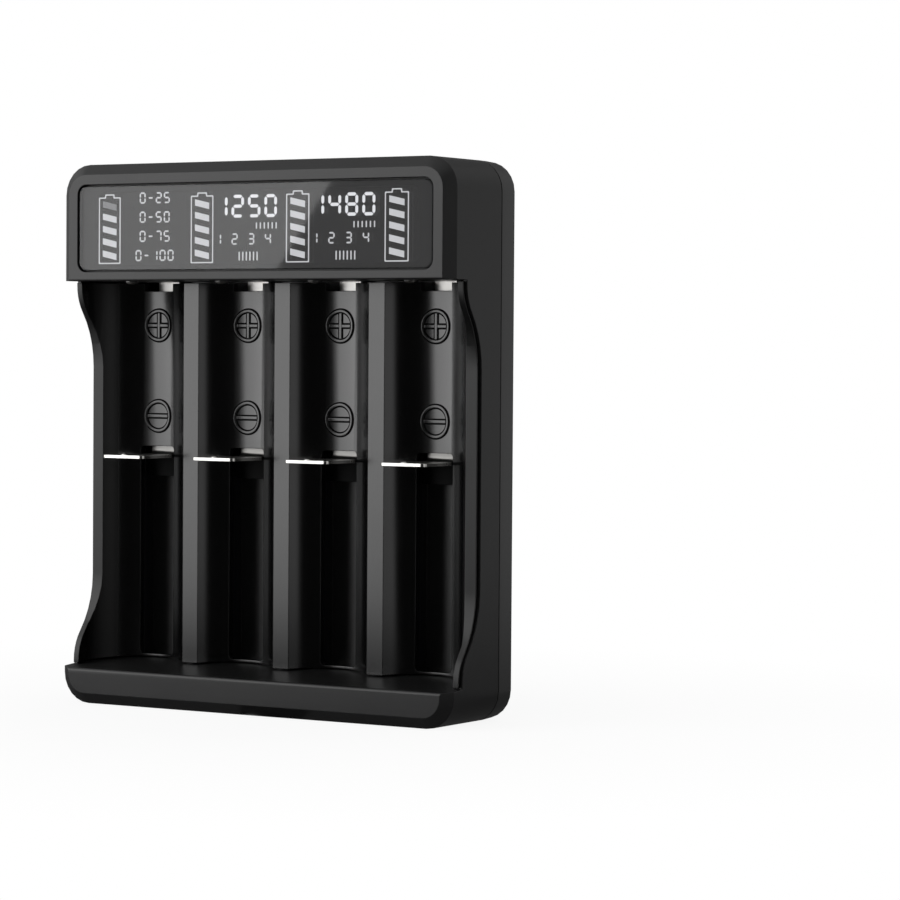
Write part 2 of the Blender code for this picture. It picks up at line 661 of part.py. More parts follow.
def make_bay_tray(surface, root):
    """Tray of half-round bays, whose rims cap the skins of the front shell."""
    low = ledge_top(0) - CUT_OVER
    tray = mesh_object("bay_tray", prism_z(tray_section(), low, HEAD_Z))
    beyond = FLANGE_FRONT + CUT_OVER
    edge = flank_edge(0)
    top = HEAD_Z - CLEAR
    side = [(beyond, top), (edge[0][0], top)] + edge
    side += [(edge[-1][0], ledge_top(edge[-1][0]) + CLEAR), (beyond, ledge_top(beyond) + CLEAR)]
    boolean(tray, "INTERSECT", [prism_x(side, -WIDTH, WIDTH)])

    behind_rim = flank_edge(RIM_THICKNESS)
    behind_rim = [(behind_rim[0][0], HEAD_Z + CUT_OVER)] + behind_rim + [(behind_rim[-1][0], 0)]
    behind_rim += [(beyond, 0), (beyond, HEAD_Z + CUT_OVER)]
    for start, end in ((-WIDTH, -TRAY_HALF_WIDTH), (TRAY_HALF_WIDTH, WIDTH)):
        cut(tray, prism_x(behind_rim, start, end))

    slot = rounded_outline(SLOT_WIDTH / 2, SLOT_LOW, SLOT_HIGH, SLOT_CORNER, SLOT_CORNER, 3)
    notch_half = NOTCH_WIDTH / 2
    notch_z = (top - NOTCH_HEIGHT, HEAD_Z)
    through = (RIDGE_DEPTH, beyond)
    cut(tray, *[prism_y(shifted(slot, x), *through) for x in bay_centres()])
    cut(tray, *[box((x - notch_half, x + notch_half), through, notch_z) for x in bay_centres()])

    boss_start = RIDGE_DEPTH + TRAY_WALL / 2
    for x, z in tray_screw_places():
        join(tray, rod_y(x, z, BOSS_RADIUS, boss_start, PARTING_DEPTH))
    cut(tray, *[rod_y(x, z, PILOT_RADIUS, PILOT_START, beyond) for x, z in tray_screw_places()])
    return finish(tray, surface, root)


def make_rear_cover(surface, root):
    """Rear cover: a shallow tub with rolled edges, rails for the sliders and screw wells."""
    sections = [(COVER_FRONT, 0)]
    for index in range(COVER_ROUND_STEPS + 1):
        angle = math.pi / 2 * index / COVER_ROUND_STEPS
        inset = COVER_ROUND * (1 - math.cos(angle))
        sections.append((DEPTH - COVER_ROUND + COVER_ROUND * math.sin(angle), inset))
    cover = mesh_object("rear_cover", loft(shell_loops(sections)))
    inner = rounded_outline(HALF_WIDTH - COVER_WALL, COVER_WALL, HEIGHT - COVER_WALL,
                            CORNER_RADIUS - COVER_WALL, CORNER_RADIUS - COVER_WALL)
    cut(cover, prism_y(inner, COVER_FRONT - CUT_OVER, COVER_INNER))

    rooted = COVER_INNER + CLEAR
    rail_z = (CARRIAGE_LOW - SLIDER_TRAVEL - RAIL_RUN_OUT, CARRIAGE_TOP + RAIL_RUN_OUT)
    rail_inner = CARRIAGE_WIDTH / 2 + CLEAR
    rails = []
    for x in bay_centres():
        for side in (-1, 1):
            rail_x = sorted((x + side * rail_inner, x + side * (rail_inner + RAIL_WIDTH)))
            rails.append(box(rail_x, (COVER_INNER - RAIL_HEIGHT, rooted), rail_z))
    boolean(cover, "UNION", rails)

    screws = corner_screw_places() + tray_screw_places()
    well_outside = SCREW_WELL_RADIUS + SCREW_WELL_WALL
    boolean(cover, "UNION", [rod_y(x, z, well_outside, COVER_FRONT, rooted) for x, z in screws])
    well_floor = COVER_FRONT + SCREW_WELL_FLOOR
    cut(cover, *[rod_y(x, z, SCREW_WELL_RADIUS, well_floor, DEPTH + CUT_OVER) for x, z in screws])
    cut(cover, *[rod_y(x, z, PILOT_RADIUS, COVER_FRONT - CUT_OVER, well_floor + CLEAR) for x, z in screws])

    vent_end, vent_rise = VENT_WIDTH / 2, VENT_HEIGHT / 2
    vent = rounded_outline(vent_end, WINDOW_MID - vent_rise, WINDOW_MID + vent_rise, vent_end, vent_end, 3)
    vents = [shifted(vent, (index - (VENT_COUNT - 1) / 2) * VENT_PITCH) for index in range(VENT_COUNT)]
    cut(cover, *[prism_y(outline, COVER_INNER - CLEAR, DEPTH + CUT_OVER) for outline in vents])

    tab_top = TOP_INNER_Z - CLEAR
    tab_low, tab_root = tab_top - COVER_TAB_SHEET, HEIGHT - COVER_WALL + CLEAR
    tab_tip, tab_shoulder = PARTING_DEPTH - COVER_TAB_REACH, COVER_FRONT + CLEAR
    section = [(tab_tip, tab_low), (rooted, tab_low), (rooted, tab_root), (tab_shoulder, tab_root),
               (tab_shoulder, tab_top), (tab_tip, tab_top)]
    tab_middles = [place * COVER_TAB_PITCH for place in (-1, 0, 1)]
    tab_half = COVER_TAB_WIDTH / 2
    boolean(cover, "UNION", [prism_x(section, x - tab_half, x + tab_half) for x in tab_middles])
    return finish(cover, surface, root)


def make_display(surfaces, root):
    """Smoked window, liquid-crystal panel, its backlight and the strip that links it to the board."""
    front, back = WINDOW_SINK, WINDOW_SINK + WINDOW_THICKNESS
    loops = []
    for depth, inset in ((front, WINDOW_EDGE), (front + WINDOW_EDGE, 0), (back, 0)):
        gap = CLEAR + inset
        radius = WINDOW_CORNER - gap
        outline = rounded_outline(WINDOW_HALF - gap, WINDOW_LOW + gap, WINDOW_HIGH - gap, radius, radius)
        loops.append([(x, y_at(depth), z) for x, z in outline])
    finish(mesh_object("display_window", loft(loops)), surfaces["smoked_acrylic"], root)

    lcd_half = BOARD_HALF - BOARD_RIB_LAP - CLEAR
    lcd_z = (SIGHT_LOW - LCD_LAP, SIGHT_HIGH + LCD_LAP)
    panel = box((-lcd_half, lcd_half), (LCD_FRONT, LCD_BACK), lcd_z)
    finish(mesh_object("lcd_panel", panel), surfaces["display_glass"], root)
    light_z = (lcd_z[0], lcd_z[1] - CONNECTOR_HEIGHT - CLEAR)
    light = box((-lcd_half, lcd_half), (BACKLIGHT_FRONT, BACKLIGHT_BACK), light_z)
    finish(mesh_object("backlight_panel", light), surfaces["white_diffuser"], root)
    strip_z = (lcd_z[1] - CONNECTOR_HEIGHT, lcd_z[1])
    strip = box((-lcd_half, lcd_half), (BACKLIGHT_FRONT, BACKLIGHT_BACK), strip_z)
    finish(mesh_object("lcd_connector", strip), surfaces["connector_rubber"], root)


def make_board(surfaces, root):
    """Circuit board in the head, with the inlet and the largest parts on its back."""
    plate = box((-BOARD_HALF, BOARD_HALF), (BOARD_FRONT, BOARD_BACK), (BOARD_LOW, BOARD_HIGH))
    board = mesh_object("main_board", plate)
    through = (BOARD_FRONT - CUT_OVER, BOARD_BACK + CUT_OVER)
    notch_radius = BOSS_RADIUS + CLEAR
    cut(board, *[rod_y(side * CORNER_SCREW_X, WINDOW_MID, notch_radius, *through) for side in (-1, 1)])
    cut(board, *board_screw_holes(*through))
    finish(board, surfaces["circuit_board"], root)

    top = HEIGHT - USB_SINK
    socket = mesh_object("usb_c_socket", prism_z(usb_outline(), top - USB_LENGTH, top))
    cut(socket, prism_z(usb_outline(-USB_SHELL), top - USB_MOUTH, top + CUT_OVER))
    tongue_y = (usb_depth() - USB_TONGUE_THICKNESS / 2, usb_depth() + USB_TONGUE_THICKNESS / 2)
    tongue_z = (top - USB_MOUTH - CLEAR, top - 2 * CLEAR)
    join(socket, box((-USB_TONGUE_WIDTH / 2, USB_TONGUE_WIDTH / 2), tongue_y, tongue_z))
    finish(socket, surfaces["bright_steel"], root)

    chip_body = box((CHIP_OFFSET - CHIP_LENGTH / 2, CHIP_OFFSET + CHIP_LENGTH / 2),
                    (MOUNTED_FACE + CHIP_PIN_HEIGHT / 2, MOUNTED_FACE + CHIP_HEIGHT),
                    (WINDOW_MID - CHIP_WIDTH / 2, WINDOW_MID + CHIP_WIDTH / 2))
    chip = mesh_object("charge_controller", chip_body)
    pins = []
    reach = CHIP_WIDTH / 2 + CHIP_PIN_REACH
    pin_depth = (MOUNTED_FACE, MOUNTED_FACE + CHIP_PIN_HEIGHT)
    pin_z = (WINDOW_MID - reach, WINDOW_MID + reach)
    for index in range(CHIP_PINS):
        x = CHIP_OFFSET + (index - (CHIP_PINS - 1) / 2) * CHIP_PIN_PITCH
        pins.append(box((x - CHIP_PIN_WIDTH / 2, x + CHIP_PIN_WIDTH / 2), pin_depth, pin_z))
    boolean(chip, "UNION", pins)
    finish(chip, surfaces["chip_resin"], root)

    half = INDUCTOR_SIZE / 2
    coil_outline = rounded_outline(half, WINDOW_MID - half, WINDOW_MID + half,
                                   INDUCTOR_CORNER, INDUCTOR_CORNER, 2)
    coil = prism_y(shifted(coil_outline, INDUCTOR_OFFSET), MOUNTED_FACE, MOUNTED_FACE + INDUCTOR_HEIGHT)
    finish(mesh_object("power_inductor", coil), surfaces["ferrite"], root)

    radius, height, bead = CAPACITOR_RADIUS, CAPACITOR_HEIGHT, CAPACITOR_BEAD
    bead_z = CAPACITOR_BEAD_HEIGHT
    profile = [(0, 0), (radius, 0), (radius, bead_z), (radius - bead, bead_z + bead),
               (radius, bead_z + 2 * bead), (radius, height - bead), (radius - bead, height), (0, height)]
    for index, x in enumerate(CAPACITOR_OFFSETS, 1):
        can = placed(turned(profile, SMALL_ROUND_STEPS), x, MOUNTED_FACE, WINDOW_MID, FACE_BACK)
        finish(mesh_object(f"filter_capacitor_{index}", can), surfaces["brushed_can"], root)


def make_positive_contacts(surface, root):
    """Upper contacts: a dimpled strip under the head, with a solder tab and a rear leg."""
    half = POSITIVE_WIDTH / 2
    back = POSITIVE_LEG_DEPTH + POSITIVE_SHEET
    plan = rounded_outline(half, POSITIVE_FRONT, back, POSITIVE_CORNER, SMALL_CORNER, 4)
    tab_low, tab_high = solder_tab_range()
    first = mesh_object("positive_contact_1", prism_z(plan, HEAD_Z, POSITIVE_TOP))
    upside_down = Matrix.Rotation(math.pi, 4, "X")
    dimple = cap_z(POSITIVE_DIMPLE_RADIUS, POSITIVE_DIMPLE_RISE, POSITIVE_SHEET / 2)
    leg_half = POSITIVE_LEG_WIDTH / 2
    join(first, placed(dimple, 0, POSITIVE_DIMPLE_DEPTH, HEAD_Z, upside_down),
         box((tab_low, tab_high), (MOUNTED_FACE, MOUNTED_FACE + POSITIVE_SHEET),
             (HEAD_Z + POSITIVE_SHEET / 2, POSITIVE_TOP + SOLDER_TAB_HEIGHT)),
         box((-leg_half, leg_half), (POSITIVE_LEG_DEPTH, back - CLEAR / 3),
             (HEAD_Z - POSITIVE_LEG_LENGTH, HEAD_Z + POSITIVE_SHEET / 2)))
    finish(first, surface, root)
    repeat_across_bays(first, root)


def repeat_across_bays(first, root):
    """Places the first bay's piece and one copy for each further bay."""
    stem = first.name[:-1]
    for index, x in enumerate(bay_centres(), 1):
        copy = first
        if index > 1:
            copy = bpy.data.objects.new(f"{stem}{index}", first.data)
            bpy.context.scene.collection.objects.link(copy)
            copy.parent = root
        copy.location = (x, first.location.y, first.location.z)


def make_terminals(surface, root):
    """Strips that hold the springs' upper ends and lead from them to the board."""
    half, sheet = TERMINAL_WIDTH / 2, TERMINAL_SHEET
    back = COVER_INNER - CLEAR
    run_z = HEAD_CAVITY_Z + TERMINAL_LIFT
    strip = box((-half, half), (back - sheet, back), (TERMINAL_LOW, run_z + sheet))
    first = mesh_object("negative_terminal_1", strip)
    joint = back - sheet / 2
    hook = box((-half, half), (SPRING_DEPTH - SPRING_RADIUS, joint), (TERMINAL_LOW, TERMINAL_LOW + sheet))
    run = box((-half, half), (MOUNTED_FACE, joint), (run_z, run_z + sheet))
    join(first, hook, run)
    finish(first, surface, root)
    repeat_across_bays(first, root)


def spring_points(length):
    """Centre line of a return spring that hangs from z = 0: a coil between two straight tails."""
    coil = length - 2 * SPRING_TAIL
    steps = SPRING_TURNS * SPRING_TURN_STEPS
    points = [Vector((0, 0, 0)), Vector((0, 0, -SPRING_STRAIGHT))]
    for index in range(steps + 1):
        angle = math.tau * index / SPRING_TURN_STEPS
        drop = SPRING_TAIL + coil * index / steps
        points.append(Vector((SPRING_RADIUS * math.cos(angle), SPRING_RADIUS * math.sin(angle), -drop)))
    points += [Vector((0, 0, -length + SPRING_STRAIGHT)), Vector((0, 0, -length))]
    return points


def make_springs(surface, root):
    """Return springs, stretched between the terminals and the carriages."""
    top = TERMINAL_LOW - CLEAR
    points = spring_points(top - CARRIAGE_TOP - CLEAR)
    for number, x in enumerate(bay_centres(), 1):
        name = f"return_spring_{number}"
        curve = bpy.data.curves.new(name, "CURVE")
        curve.dimensions = "3D"
        curve.bevel_depth = SPRING_WIRE
        curve.bevel_resolution = 0
        curve.use_fill_caps = True
        run = curve.splines.new("POLY")
        run.points.add(len(points) - 1)
        for target, point in zip(run.points, points):
            target.co = (*point, 1)
        curve.materials.append(surface)
        spring = bpy.data.objects.new(name, curve)
        bpy.context.scene.collection.objects.link(spring)
        spring.parent = root
        spring.location = (x, y_at(SPRING_DEPTH), top)


def negative_neck():
    """Section of the sliding contact's neck in (depth, z), bent up into the flange behind the slot."""
    start, bend_start = NEGATIVE_WIDE_BACK - NEGATIVE_CORNER, FLANGE_FRONT - NEGATIVE_BEND
    centre = (bend_start, NEGATIVE_REST_TOP + NEGATIVE_BEND)
    quarter = math.pi / 2
    outer = arc(centre, NEGATIVE_BEND + NEGATIVE_SHEET, -quarter, 0, NEGATIVE_BEND_STEPS)
    inner = arc(centre, NEGATIVE_BEND, -quarter, 0, NEGATIVE_BEND_STEPS)
    section = [(start, NEGATIVE_BOTTOM), (bend_start, NEGATIVE_BOTTOM)] + outer[1:]
    section += [(FLANGE_BACK, CARRIAGE_TOP), (FLANGE_FRONT, CARRIAGE_TOP)] + inner[:0:-1]
    return section + [(bend_start, NEGATIVE_REST_TOP), (start, NEGATIVE_REST_TOP)]


def make_sliders(surfaces, root):
    """Sliding contacts with their carriages and rivets, each group on its own empty."""
    middle_z = (CARRIAGE_LOW + CARRIAGE_TOP) / 2
    origin = (0, y_at(SPRING_DEPTH), middle_z)
    neck = NEGATIVE_NECK / 2

    corner = NEGATIVE_CORNER
    tongue = rounded_outline(NEGATIVE_WIDTH / 2, NEGATIVE_FRONT, NEGATIVE_WIDE_BACK, corner, corner, 4)
    contact = mesh_object("negative_contact_1", prism_z(tongue, NEGATIVE_BOTTOM, NEGATIVE_REST_TOP))
    dimple = cap_z(NEGATIVE_DIMPLE_RADIUS, NEGATIVE_DIMPLE_RISE, NEGATIVE_SHEET / 2)
    join(contact, prism_x(negative_neck(), -neck, neck),
         placed(dimple, 0, NEGATIVE_FRONT + NEGATIVE_DIMPLE_SETBACK, NEGATIVE_REST_TOP))
    hole = RIVET_RADIUS + CLEAR
    cut(contact, rod_y(0, RIVET_Z, hole, FLANGE_FRONT - CUT_OVER, FLANGE_BACK + CUT_OVER, SMALL_ROUND_STEPS))

    outline = rounded_outline(CARRIAGE_WIDTH / 2, CARRIAGE_LOW, CARRIAGE_TOP,
                              CARRIAGE_CORNER, CARRIAGE_CORNER, 3)
    carriage = mesh_object("slider_carriage_1", prism_y(outline, CARRIAGE_FRONT, CARRIAGE_BACK))
    head_hole = RIVET_HEAD_RADIUS + CLEAR
    head_seat = CARRIAGE_BACK - RIVET_HEAD_HEIGHT - 2 * CLEAR
    cut(carriage, rod_y(0, RIVET_Z, hole, CARRIAGE_FRONT - CUT_OVER, CARRIAGE_BACK, SMALL_ROUND_STEPS))
    cut(carriage, rod_y(0, RIVET_Z, head_hole, head_seat, CARRIAGE_BACK + CUT_OVER, SMALL_ROUND_STEPS))

    rivet_start = FLANGE_FRONT
    rivet_end = CARRIAGE_BACK - CLEAR
    length = rivet_end - rivet_start
    shoulder = length - RIVET_HEAD_HEIGHT
    profile = [(0, 0), (RIVET_RADIUS, 0), (RIVET_RADIUS, shoulder), (RIVET_HEAD_RADIUS, shoulder),
               (RIVET_HEAD_RADIUS, length), (0, length)]
    pin = placed(turned(profile, SMALL_ROUND_STEPS), 0, rivet_start, RIVET_Z, FACE_BACK)
    rivet = mesh_object("contact_rivet_1", pin)

    kinds = [(contact, "negative_contact_", surfaces["nickel"]),
             (carriage, "slider_carriage_", surfaces["grey_acetal"]),
             (rivet, "contact_rivet_", surfaces["bright_steel"])]
    for made, stem, surface in kinds:
        finish(made, surface, root, origin)
    for number, x in enumerate(bay_centres(), 1):
        axis = empty(f"slider_{number}", (x, origin[1], origin[2]), root)
        for made, stem, surface in kinds:
            piece = made
            if number > 1:
                piece = bpy.data.objects.new(f"{stem}{number}", made.data)
                bpy.context.scene.collection.objects.link(piece)
            piece.parent = axis
            piece.location = (0, 0, 0)


def screw_body(radius, head_radius, head_height, length):
    """Pan-head screw along Z with a cross recess; the head's seat lies at z = 0."""
    crown = head_height / 3
    profile = [(0, -length), (radius / 2, -length), (radius, -length + 2 * radius), (radius, 0),
               (head_radius, 0), (head_radius, head_height - crown),
               (head_radius - crown, head_height), (0, head_height)]
    return turned(profile, SMALL_ROUND_STEPS)


def cross_recess(head_height, scale):
    """Two crossed bars that cut the recess, as one body."""
    long, wide = SCREW_SLOT_LENGTH * scale / 2, SCREW_SLOT_WIDTH * scale / 2
    plan = [(long, -wide), (long, wide), (wide, wide), (wide, long), (-wide, long), (-wide, wide)]
    plan += [(-long, wide), (-long, -wide), (-wide, -wide), (-wide, -long), (wide, -long), (wide, -wide)]
    low, high = head_height - SCREW_SLOT_DEPTH * scale, head_height + CUT_OVER
    return loft([[(x, y, z) for x, y in plan] for z in (low, high)])


def make_screws(stem, places, seat_depth, sizes, surface, root):
    """A set of like screws that point forwards from their seats, with one shared mesh."""
    radius, head_radius, head_height, length = sizes
    first = mesh_object(f"{stem}_1", screw_body(*sizes))
    cut(first, cross_recess(head_height, head_radius / SCREW_HEAD_RADIUS))
    finish(first, surface, root)
    for number, (x, z) in enumerate(places, 1):
        screw = first
        if number > 1:
            screw = bpy.data.objects.new(f"{stem}_{number}", first.data)
            bpy.context.scene.collection.objects.link(screw)
            screw.parent = root
        screw.rotation_euler = (-math.pi / 2, 0, 0)
        screw.location = (x, y_at(seat_depth), z)


def main():
    for old in list(bpy.data.objects):
        bpy.data.objects.remove(old)
    surfaces = {
        "black_abs": material("black_abs", (0.018, 0.018, 0.019), 0.42),
        "smoked_acrylic": material("smoked_acrylic", (0.01, 0.01, 0.011), 0.06),
        "display_glass": material("display_glass", (0.03, 0.03, 0.035), 0.15),
        "white_diffuser": material("white_diffuser", (0.8, 0.8, 0.78), 0.5),
        "connector_rubber": material("connector_rubber", (0.35, 0.36, 0.38), 0.7),
        "circuit_board": material("circuit_board", (0.02, 0.12, 0.05), 0.45),
        "chip_resin": material("chip_resin", (0.02, 0.02, 0.02), 0.6),
        "ferrite": material("ferrite", (0.06, 0.06, 0.065), 0.7),
        "brushed_can": material("brushed_can", (0.7, 0.7, 0.7), 0.35, 0.9),
        "nickel": material("nickel", (0.78, 0.77, 0.74), 0.22, 1.0),
        "spring_steel": material("spring_steel", (0.55, 0.55, 0.56), 0.3, 1.0),
        "bright_steel": material("bright_steel", (0.62, 0.62, 0.63), 0.28, 1.0),
        "grey_acetal": material("grey_acetal", (0.05, 0.05, 0.052), 0.5),
    }
    root = empty("battery_charger")
    make_front_shell(surfaces["black_abs"], root)
    make_bay_tray(surfaces["black_abs"], root)
    make_rear_cover(surfaces["black_abs"], root)
    make_display(surfaces, root)
    make_board(surfaces, root)
    make_positive_contacts(surfaces["nickel"], root)
    make_terminals(surfaces["nickel"], root)
    make_springs(surfaces["spring_steel"], root)
    make_sliders(surfaces, root)
    steel = surfaces["bright_steel"]
    housing_sizes = (SCREW_RADIUS, SCREW_HEAD_RADIUS, SCREW_HEAD_HEIGHT, SCREW_LENGTH)
    make_screws("housing_screw", corner_screw_places(), SCREW_SEAT, housing_sizes, steel, root)
    make_screws("tray_screw", tray_screw_places(), SCREW_SEAT, housing_sizes, steel, root)
    board_sizes = (BOARD_SCREW_RADIUS, BOARD_SCREW_HEAD_RADIUS, BOARD_SCREW_HEAD_HEIGHT, BOARD_SCREW_LENGTH)
    make_screws("board_screw", board_screw_places(), MOUNTED_FACE, board_sizes, steel, root)


main()
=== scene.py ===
"""Studio scene for an upright four-bay battery charger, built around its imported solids.

Each operator finishes one piece or one group of like pieces. Lengths are in metres.
"""
import math

import bmesh
import bpy
from bpy.props import FloatProperty, FloatVectorProperty, IntProperty, PointerProperty, StringProperty
from mathutils import Matrix, Vector


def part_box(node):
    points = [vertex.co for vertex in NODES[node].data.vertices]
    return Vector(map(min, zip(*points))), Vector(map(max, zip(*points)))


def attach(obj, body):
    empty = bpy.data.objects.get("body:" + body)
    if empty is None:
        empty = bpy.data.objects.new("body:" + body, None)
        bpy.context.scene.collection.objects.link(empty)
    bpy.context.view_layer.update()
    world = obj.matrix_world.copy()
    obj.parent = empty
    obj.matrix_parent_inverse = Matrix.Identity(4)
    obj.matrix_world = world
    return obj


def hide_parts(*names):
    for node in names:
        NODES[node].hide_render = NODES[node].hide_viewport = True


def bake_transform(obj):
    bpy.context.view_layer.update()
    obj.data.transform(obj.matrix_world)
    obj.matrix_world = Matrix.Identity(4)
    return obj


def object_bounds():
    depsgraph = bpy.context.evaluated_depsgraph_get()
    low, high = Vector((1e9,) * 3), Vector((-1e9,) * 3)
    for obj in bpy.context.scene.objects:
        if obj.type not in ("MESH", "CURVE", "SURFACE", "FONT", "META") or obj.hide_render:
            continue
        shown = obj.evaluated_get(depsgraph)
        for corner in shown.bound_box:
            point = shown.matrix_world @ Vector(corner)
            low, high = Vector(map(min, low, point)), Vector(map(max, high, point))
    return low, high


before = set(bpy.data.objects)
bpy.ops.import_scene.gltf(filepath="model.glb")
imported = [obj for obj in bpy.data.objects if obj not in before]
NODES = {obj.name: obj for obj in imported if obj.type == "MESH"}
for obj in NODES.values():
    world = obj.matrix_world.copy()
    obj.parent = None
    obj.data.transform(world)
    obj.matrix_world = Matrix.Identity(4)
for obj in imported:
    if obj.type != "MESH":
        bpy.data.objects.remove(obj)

bl_info = {
    "name": "Battery charger studio",
    "version": (1, 0, 0),
    "blender": (4, 5, 0),
    "location": "View3D > Sidebar > Charger",
    "description": "Finishes an upright battery charger and lights it in a plain studio",
    "category": "Object",
}

MM = 0.001
HOUSING = "housing"
CAD_LOW, CAD_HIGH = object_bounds()
FRONT_Y = CAD_LOW.y
BAY_NUMBERS = [number for number in range(1, 61) if f"negative_contact_{number}" in NODES]
SMOOTH_ANGLE = math.radians(32)
MERGE = 0.0000005


def bay_x(number):
    """X of a bay's centre line."""
    low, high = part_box(f"negative_contact_{number}")
    return (low.x + high.x) / 2


BAY_PITCH = bay_x(2) - bay_x(1)


class Signal:
    """A socket's output that takes part in Python sums; each operator adds a Math node."""

    def __init__(self, surface, socket):
        self.surface = surface
        self.socket = socket

    def maths(self, operation, first, second):
        return self.surface.add("ShaderNodeMath", {"operation": operation}, {0: first, 1: second})

    def __add__(self, other):
        return self.maths("ADD", self, other)

    def __radd__(self, other):
        return self.maths("ADD", other, self)

    def __sub__(self, other):
        return self.maths("SUBTRACT", self, other)

    def __rsub__(self, other):
        return self.maths("SUBTRACT", other, self)

    def __mul__(self, other):
        return self.maths("MULTIPLY", self, other)

    def __rmul__(self, other):
        return self.maths("MULTIPLY", other, self)


class Surface:
    """A material in the making, on its Principled shader."""

    def __init__(self, name):
        self.material = bpy.data.materials.new(name)
        self.material.use_nodes = True
        self.tree = self.material.node_tree
        self.shader = self.tree.nodes["Principled BSDF"]
        self.place = self.tree.nodes.new("ShaderNodeTexCoord").outputs["Object"]

    def feed(self, socket, value):
        if isinstance(value, Signal):
            self.tree.links.new(value.socket, socket)
        elif isinstance(value, bpy.types.NodeSocket):
            self.tree.links.new(value, socket)
        else:
            socket.default_value = value

    def add(self, kind, settings=None, sockets=None, output=0):
        node = self.tree.nodes.new(kind)
        for key, value in (settings or {}).items():
            setattr(node, key, value)
        for key, value in (sockets or {}).items():
            self.feed(node.inputs[key], value)
        return Signal(self, node.outputs[output])

    def put(self, **values):
        for key, value in values.items():
            self.feed(self.shader.inputs[key.replace("_", " ")], value)

    def noise(self, size, detail=2.0, stretch=(1, 1, 1)):
        """Noise whose lumps are about the given size; a larger stretch makes them longer."""
        scale = [1 / factor for factor in stretch]
        scaled = self.add("ShaderNodeMapping", None, {"Vector": self.place, "Scale": scale})
        return self.add("ShaderNodeTexNoise", None, {"Vector": scaled, "Scale": 1 / size, "Detail": detail})

    def blend(self, mask, first, second):
        """Colour that goes from the first to the second with the mask."""
        return self.add("ShaderNodeMix", {"data_type": "RGBA"}, {0: mask, 6: rgba(first), 7: rgba(second)}, 2)

    def relief(self, height, depth, edge=0.0):
        """Normal with small relief on it and, if an edge radius is given, softened edges."""
        sockets = {"Height": height, "Distance": depth, "Strength": 1.0}
        if edge:
            sockets["Normal"] = self.add("ShaderNodeBevel", {"samples": 6}, {"Radius": edge})
        return self.add("ShaderNodeBump", None, sockets)


def rgba(colour):
    """Colour with full opacity, from a colour of three parts."""
    return (colour[0], colour[1], colour[2], 1.0)


def tinted(colour, factor):
    """The colour made lighter or darker."""
    return tuple(min(part * factor, 1.0) for part in colour)


def moulded_plastic(name, settings, colour, roughness, grain_depth, gloss):
    """Black moulded plastic with a fine eroded grain and faint differences in gloss."""
    surface = Surface(name)
    surface.shader.inputs["Specular IOR Level"].default_value = gloss
    grain = surface.noise(settings.grain_size, 3.0)
    cloud = surface.noise(settings.cloud_size, 2.0)
    surface.put(Base_Color=surface.blend(cloud, tinted(colour, 0.8), tinted(colour, 1.25)),
                Roughness=cloud * 0.08 + (roughness - 0.04),
                Normal=surface.relief(grain, grain_depth, settings.edge_radius))
    return surface.material


def smoked_window(name, settings):
    """Smoked acrylic: glossy, dark, and clear enough to show lit symbols."""
    surface = Surface(name)
    smudge = surface.noise(9 * MM, 3.0)
    ripple = surface.noise(16 * MM, 1.0)
    across = surface.add("ShaderNodeSeparateXYZ", None, {0: surface.place})
    surface.put(Base_Color=surface.blend(smudge, (0.004, 0.004, 0.0045), (0.007, 0.007, 0.0075)),
                Roughness=smudge * 0.02 + settings.window_roughness,
                Normal=surface.relief(ripple * (0.002 * MM) - across * math.tan(settings.window_tilt), 1.0))
    surface.shader.inputs["Alpha"].default_value = settings.window_opacity
    surface.shader.inputs["Specular IOR Level"].default_value = settings.window_gloss
    return surface.material


def lit_symbol(name, colour, strength):
    """Symbol of the display, lit from behind with a slight unevenness."""
    surface = Surface(name)
    patch = surface.noise(3 * MM, 1.0)
    surface.put(Base_Color=surface.blend(patch, tinted(colour, 0.55), tinted(colour, 0.62)),
                Emission_Color=surface.blend(patch, tinted(colour, 0.92), colour),
                Roughness=patch * 0.1 + 0.45)
    surface.shader.inputs["Emission Strength"].default_value = strength
    return surface.material


def plain_solid(name, colour, roughness, grain, depth, metallic=0.0, spread=0.12, stretch=(1, 1, 1),
                gloss=0.5):
    """Finish with grain of one size in its colour, gloss and relief, for metal, resin, rubber and card."""
    surface = Surface(name)
    surface.shader.inputs["Specular IOR Level"].default_value = gloss
    pattern = surface.noise(grain, 3.0, stretch)
    surface.put(Base_Color=surface.blend(pattern, tinted(colour, 1 - spread), tinted(colour, 1 + spread)),
                Roughness=pattern * 0.1 + (roughness - 0.05),
                Normal=surface.relief(pattern, depth, 0.1 * MM))
    surface.shader.inputs["Metallic"].default_value = metallic
    return surface.material


def nickel_with_painted_shade(name, front, rear):
    """Nickel plate with painted shade: its colour goes from the front one to the rear one over a few
    millimetres of depth.
    """
    surface = Surface(name)
    grain = surface.noise(0.4 * MM, 3.0, (6, 1, 1))
    depth = surface.add("ShaderNodeSeparateXYZ", None, {0: surface.place}, 1)
    fade = 3 * MM
    # Mask by depth that carries the painted shade into the base colour
    back = surface.add("ShaderNodeMapRange", None, {"Value": depth, "From Min": -fade, "From Max": fade})
    surface.put(Base_Color=surface.blend(back, front, rear), Roughness=grain * 0.12 + back * 0.1 + 0.16,
                Normal=surface.relief(grain, 0.003 * MM, 0.1 * MM))
    surface.shader.inputs["Metallic"].default_value = 1.0
    return surface.material


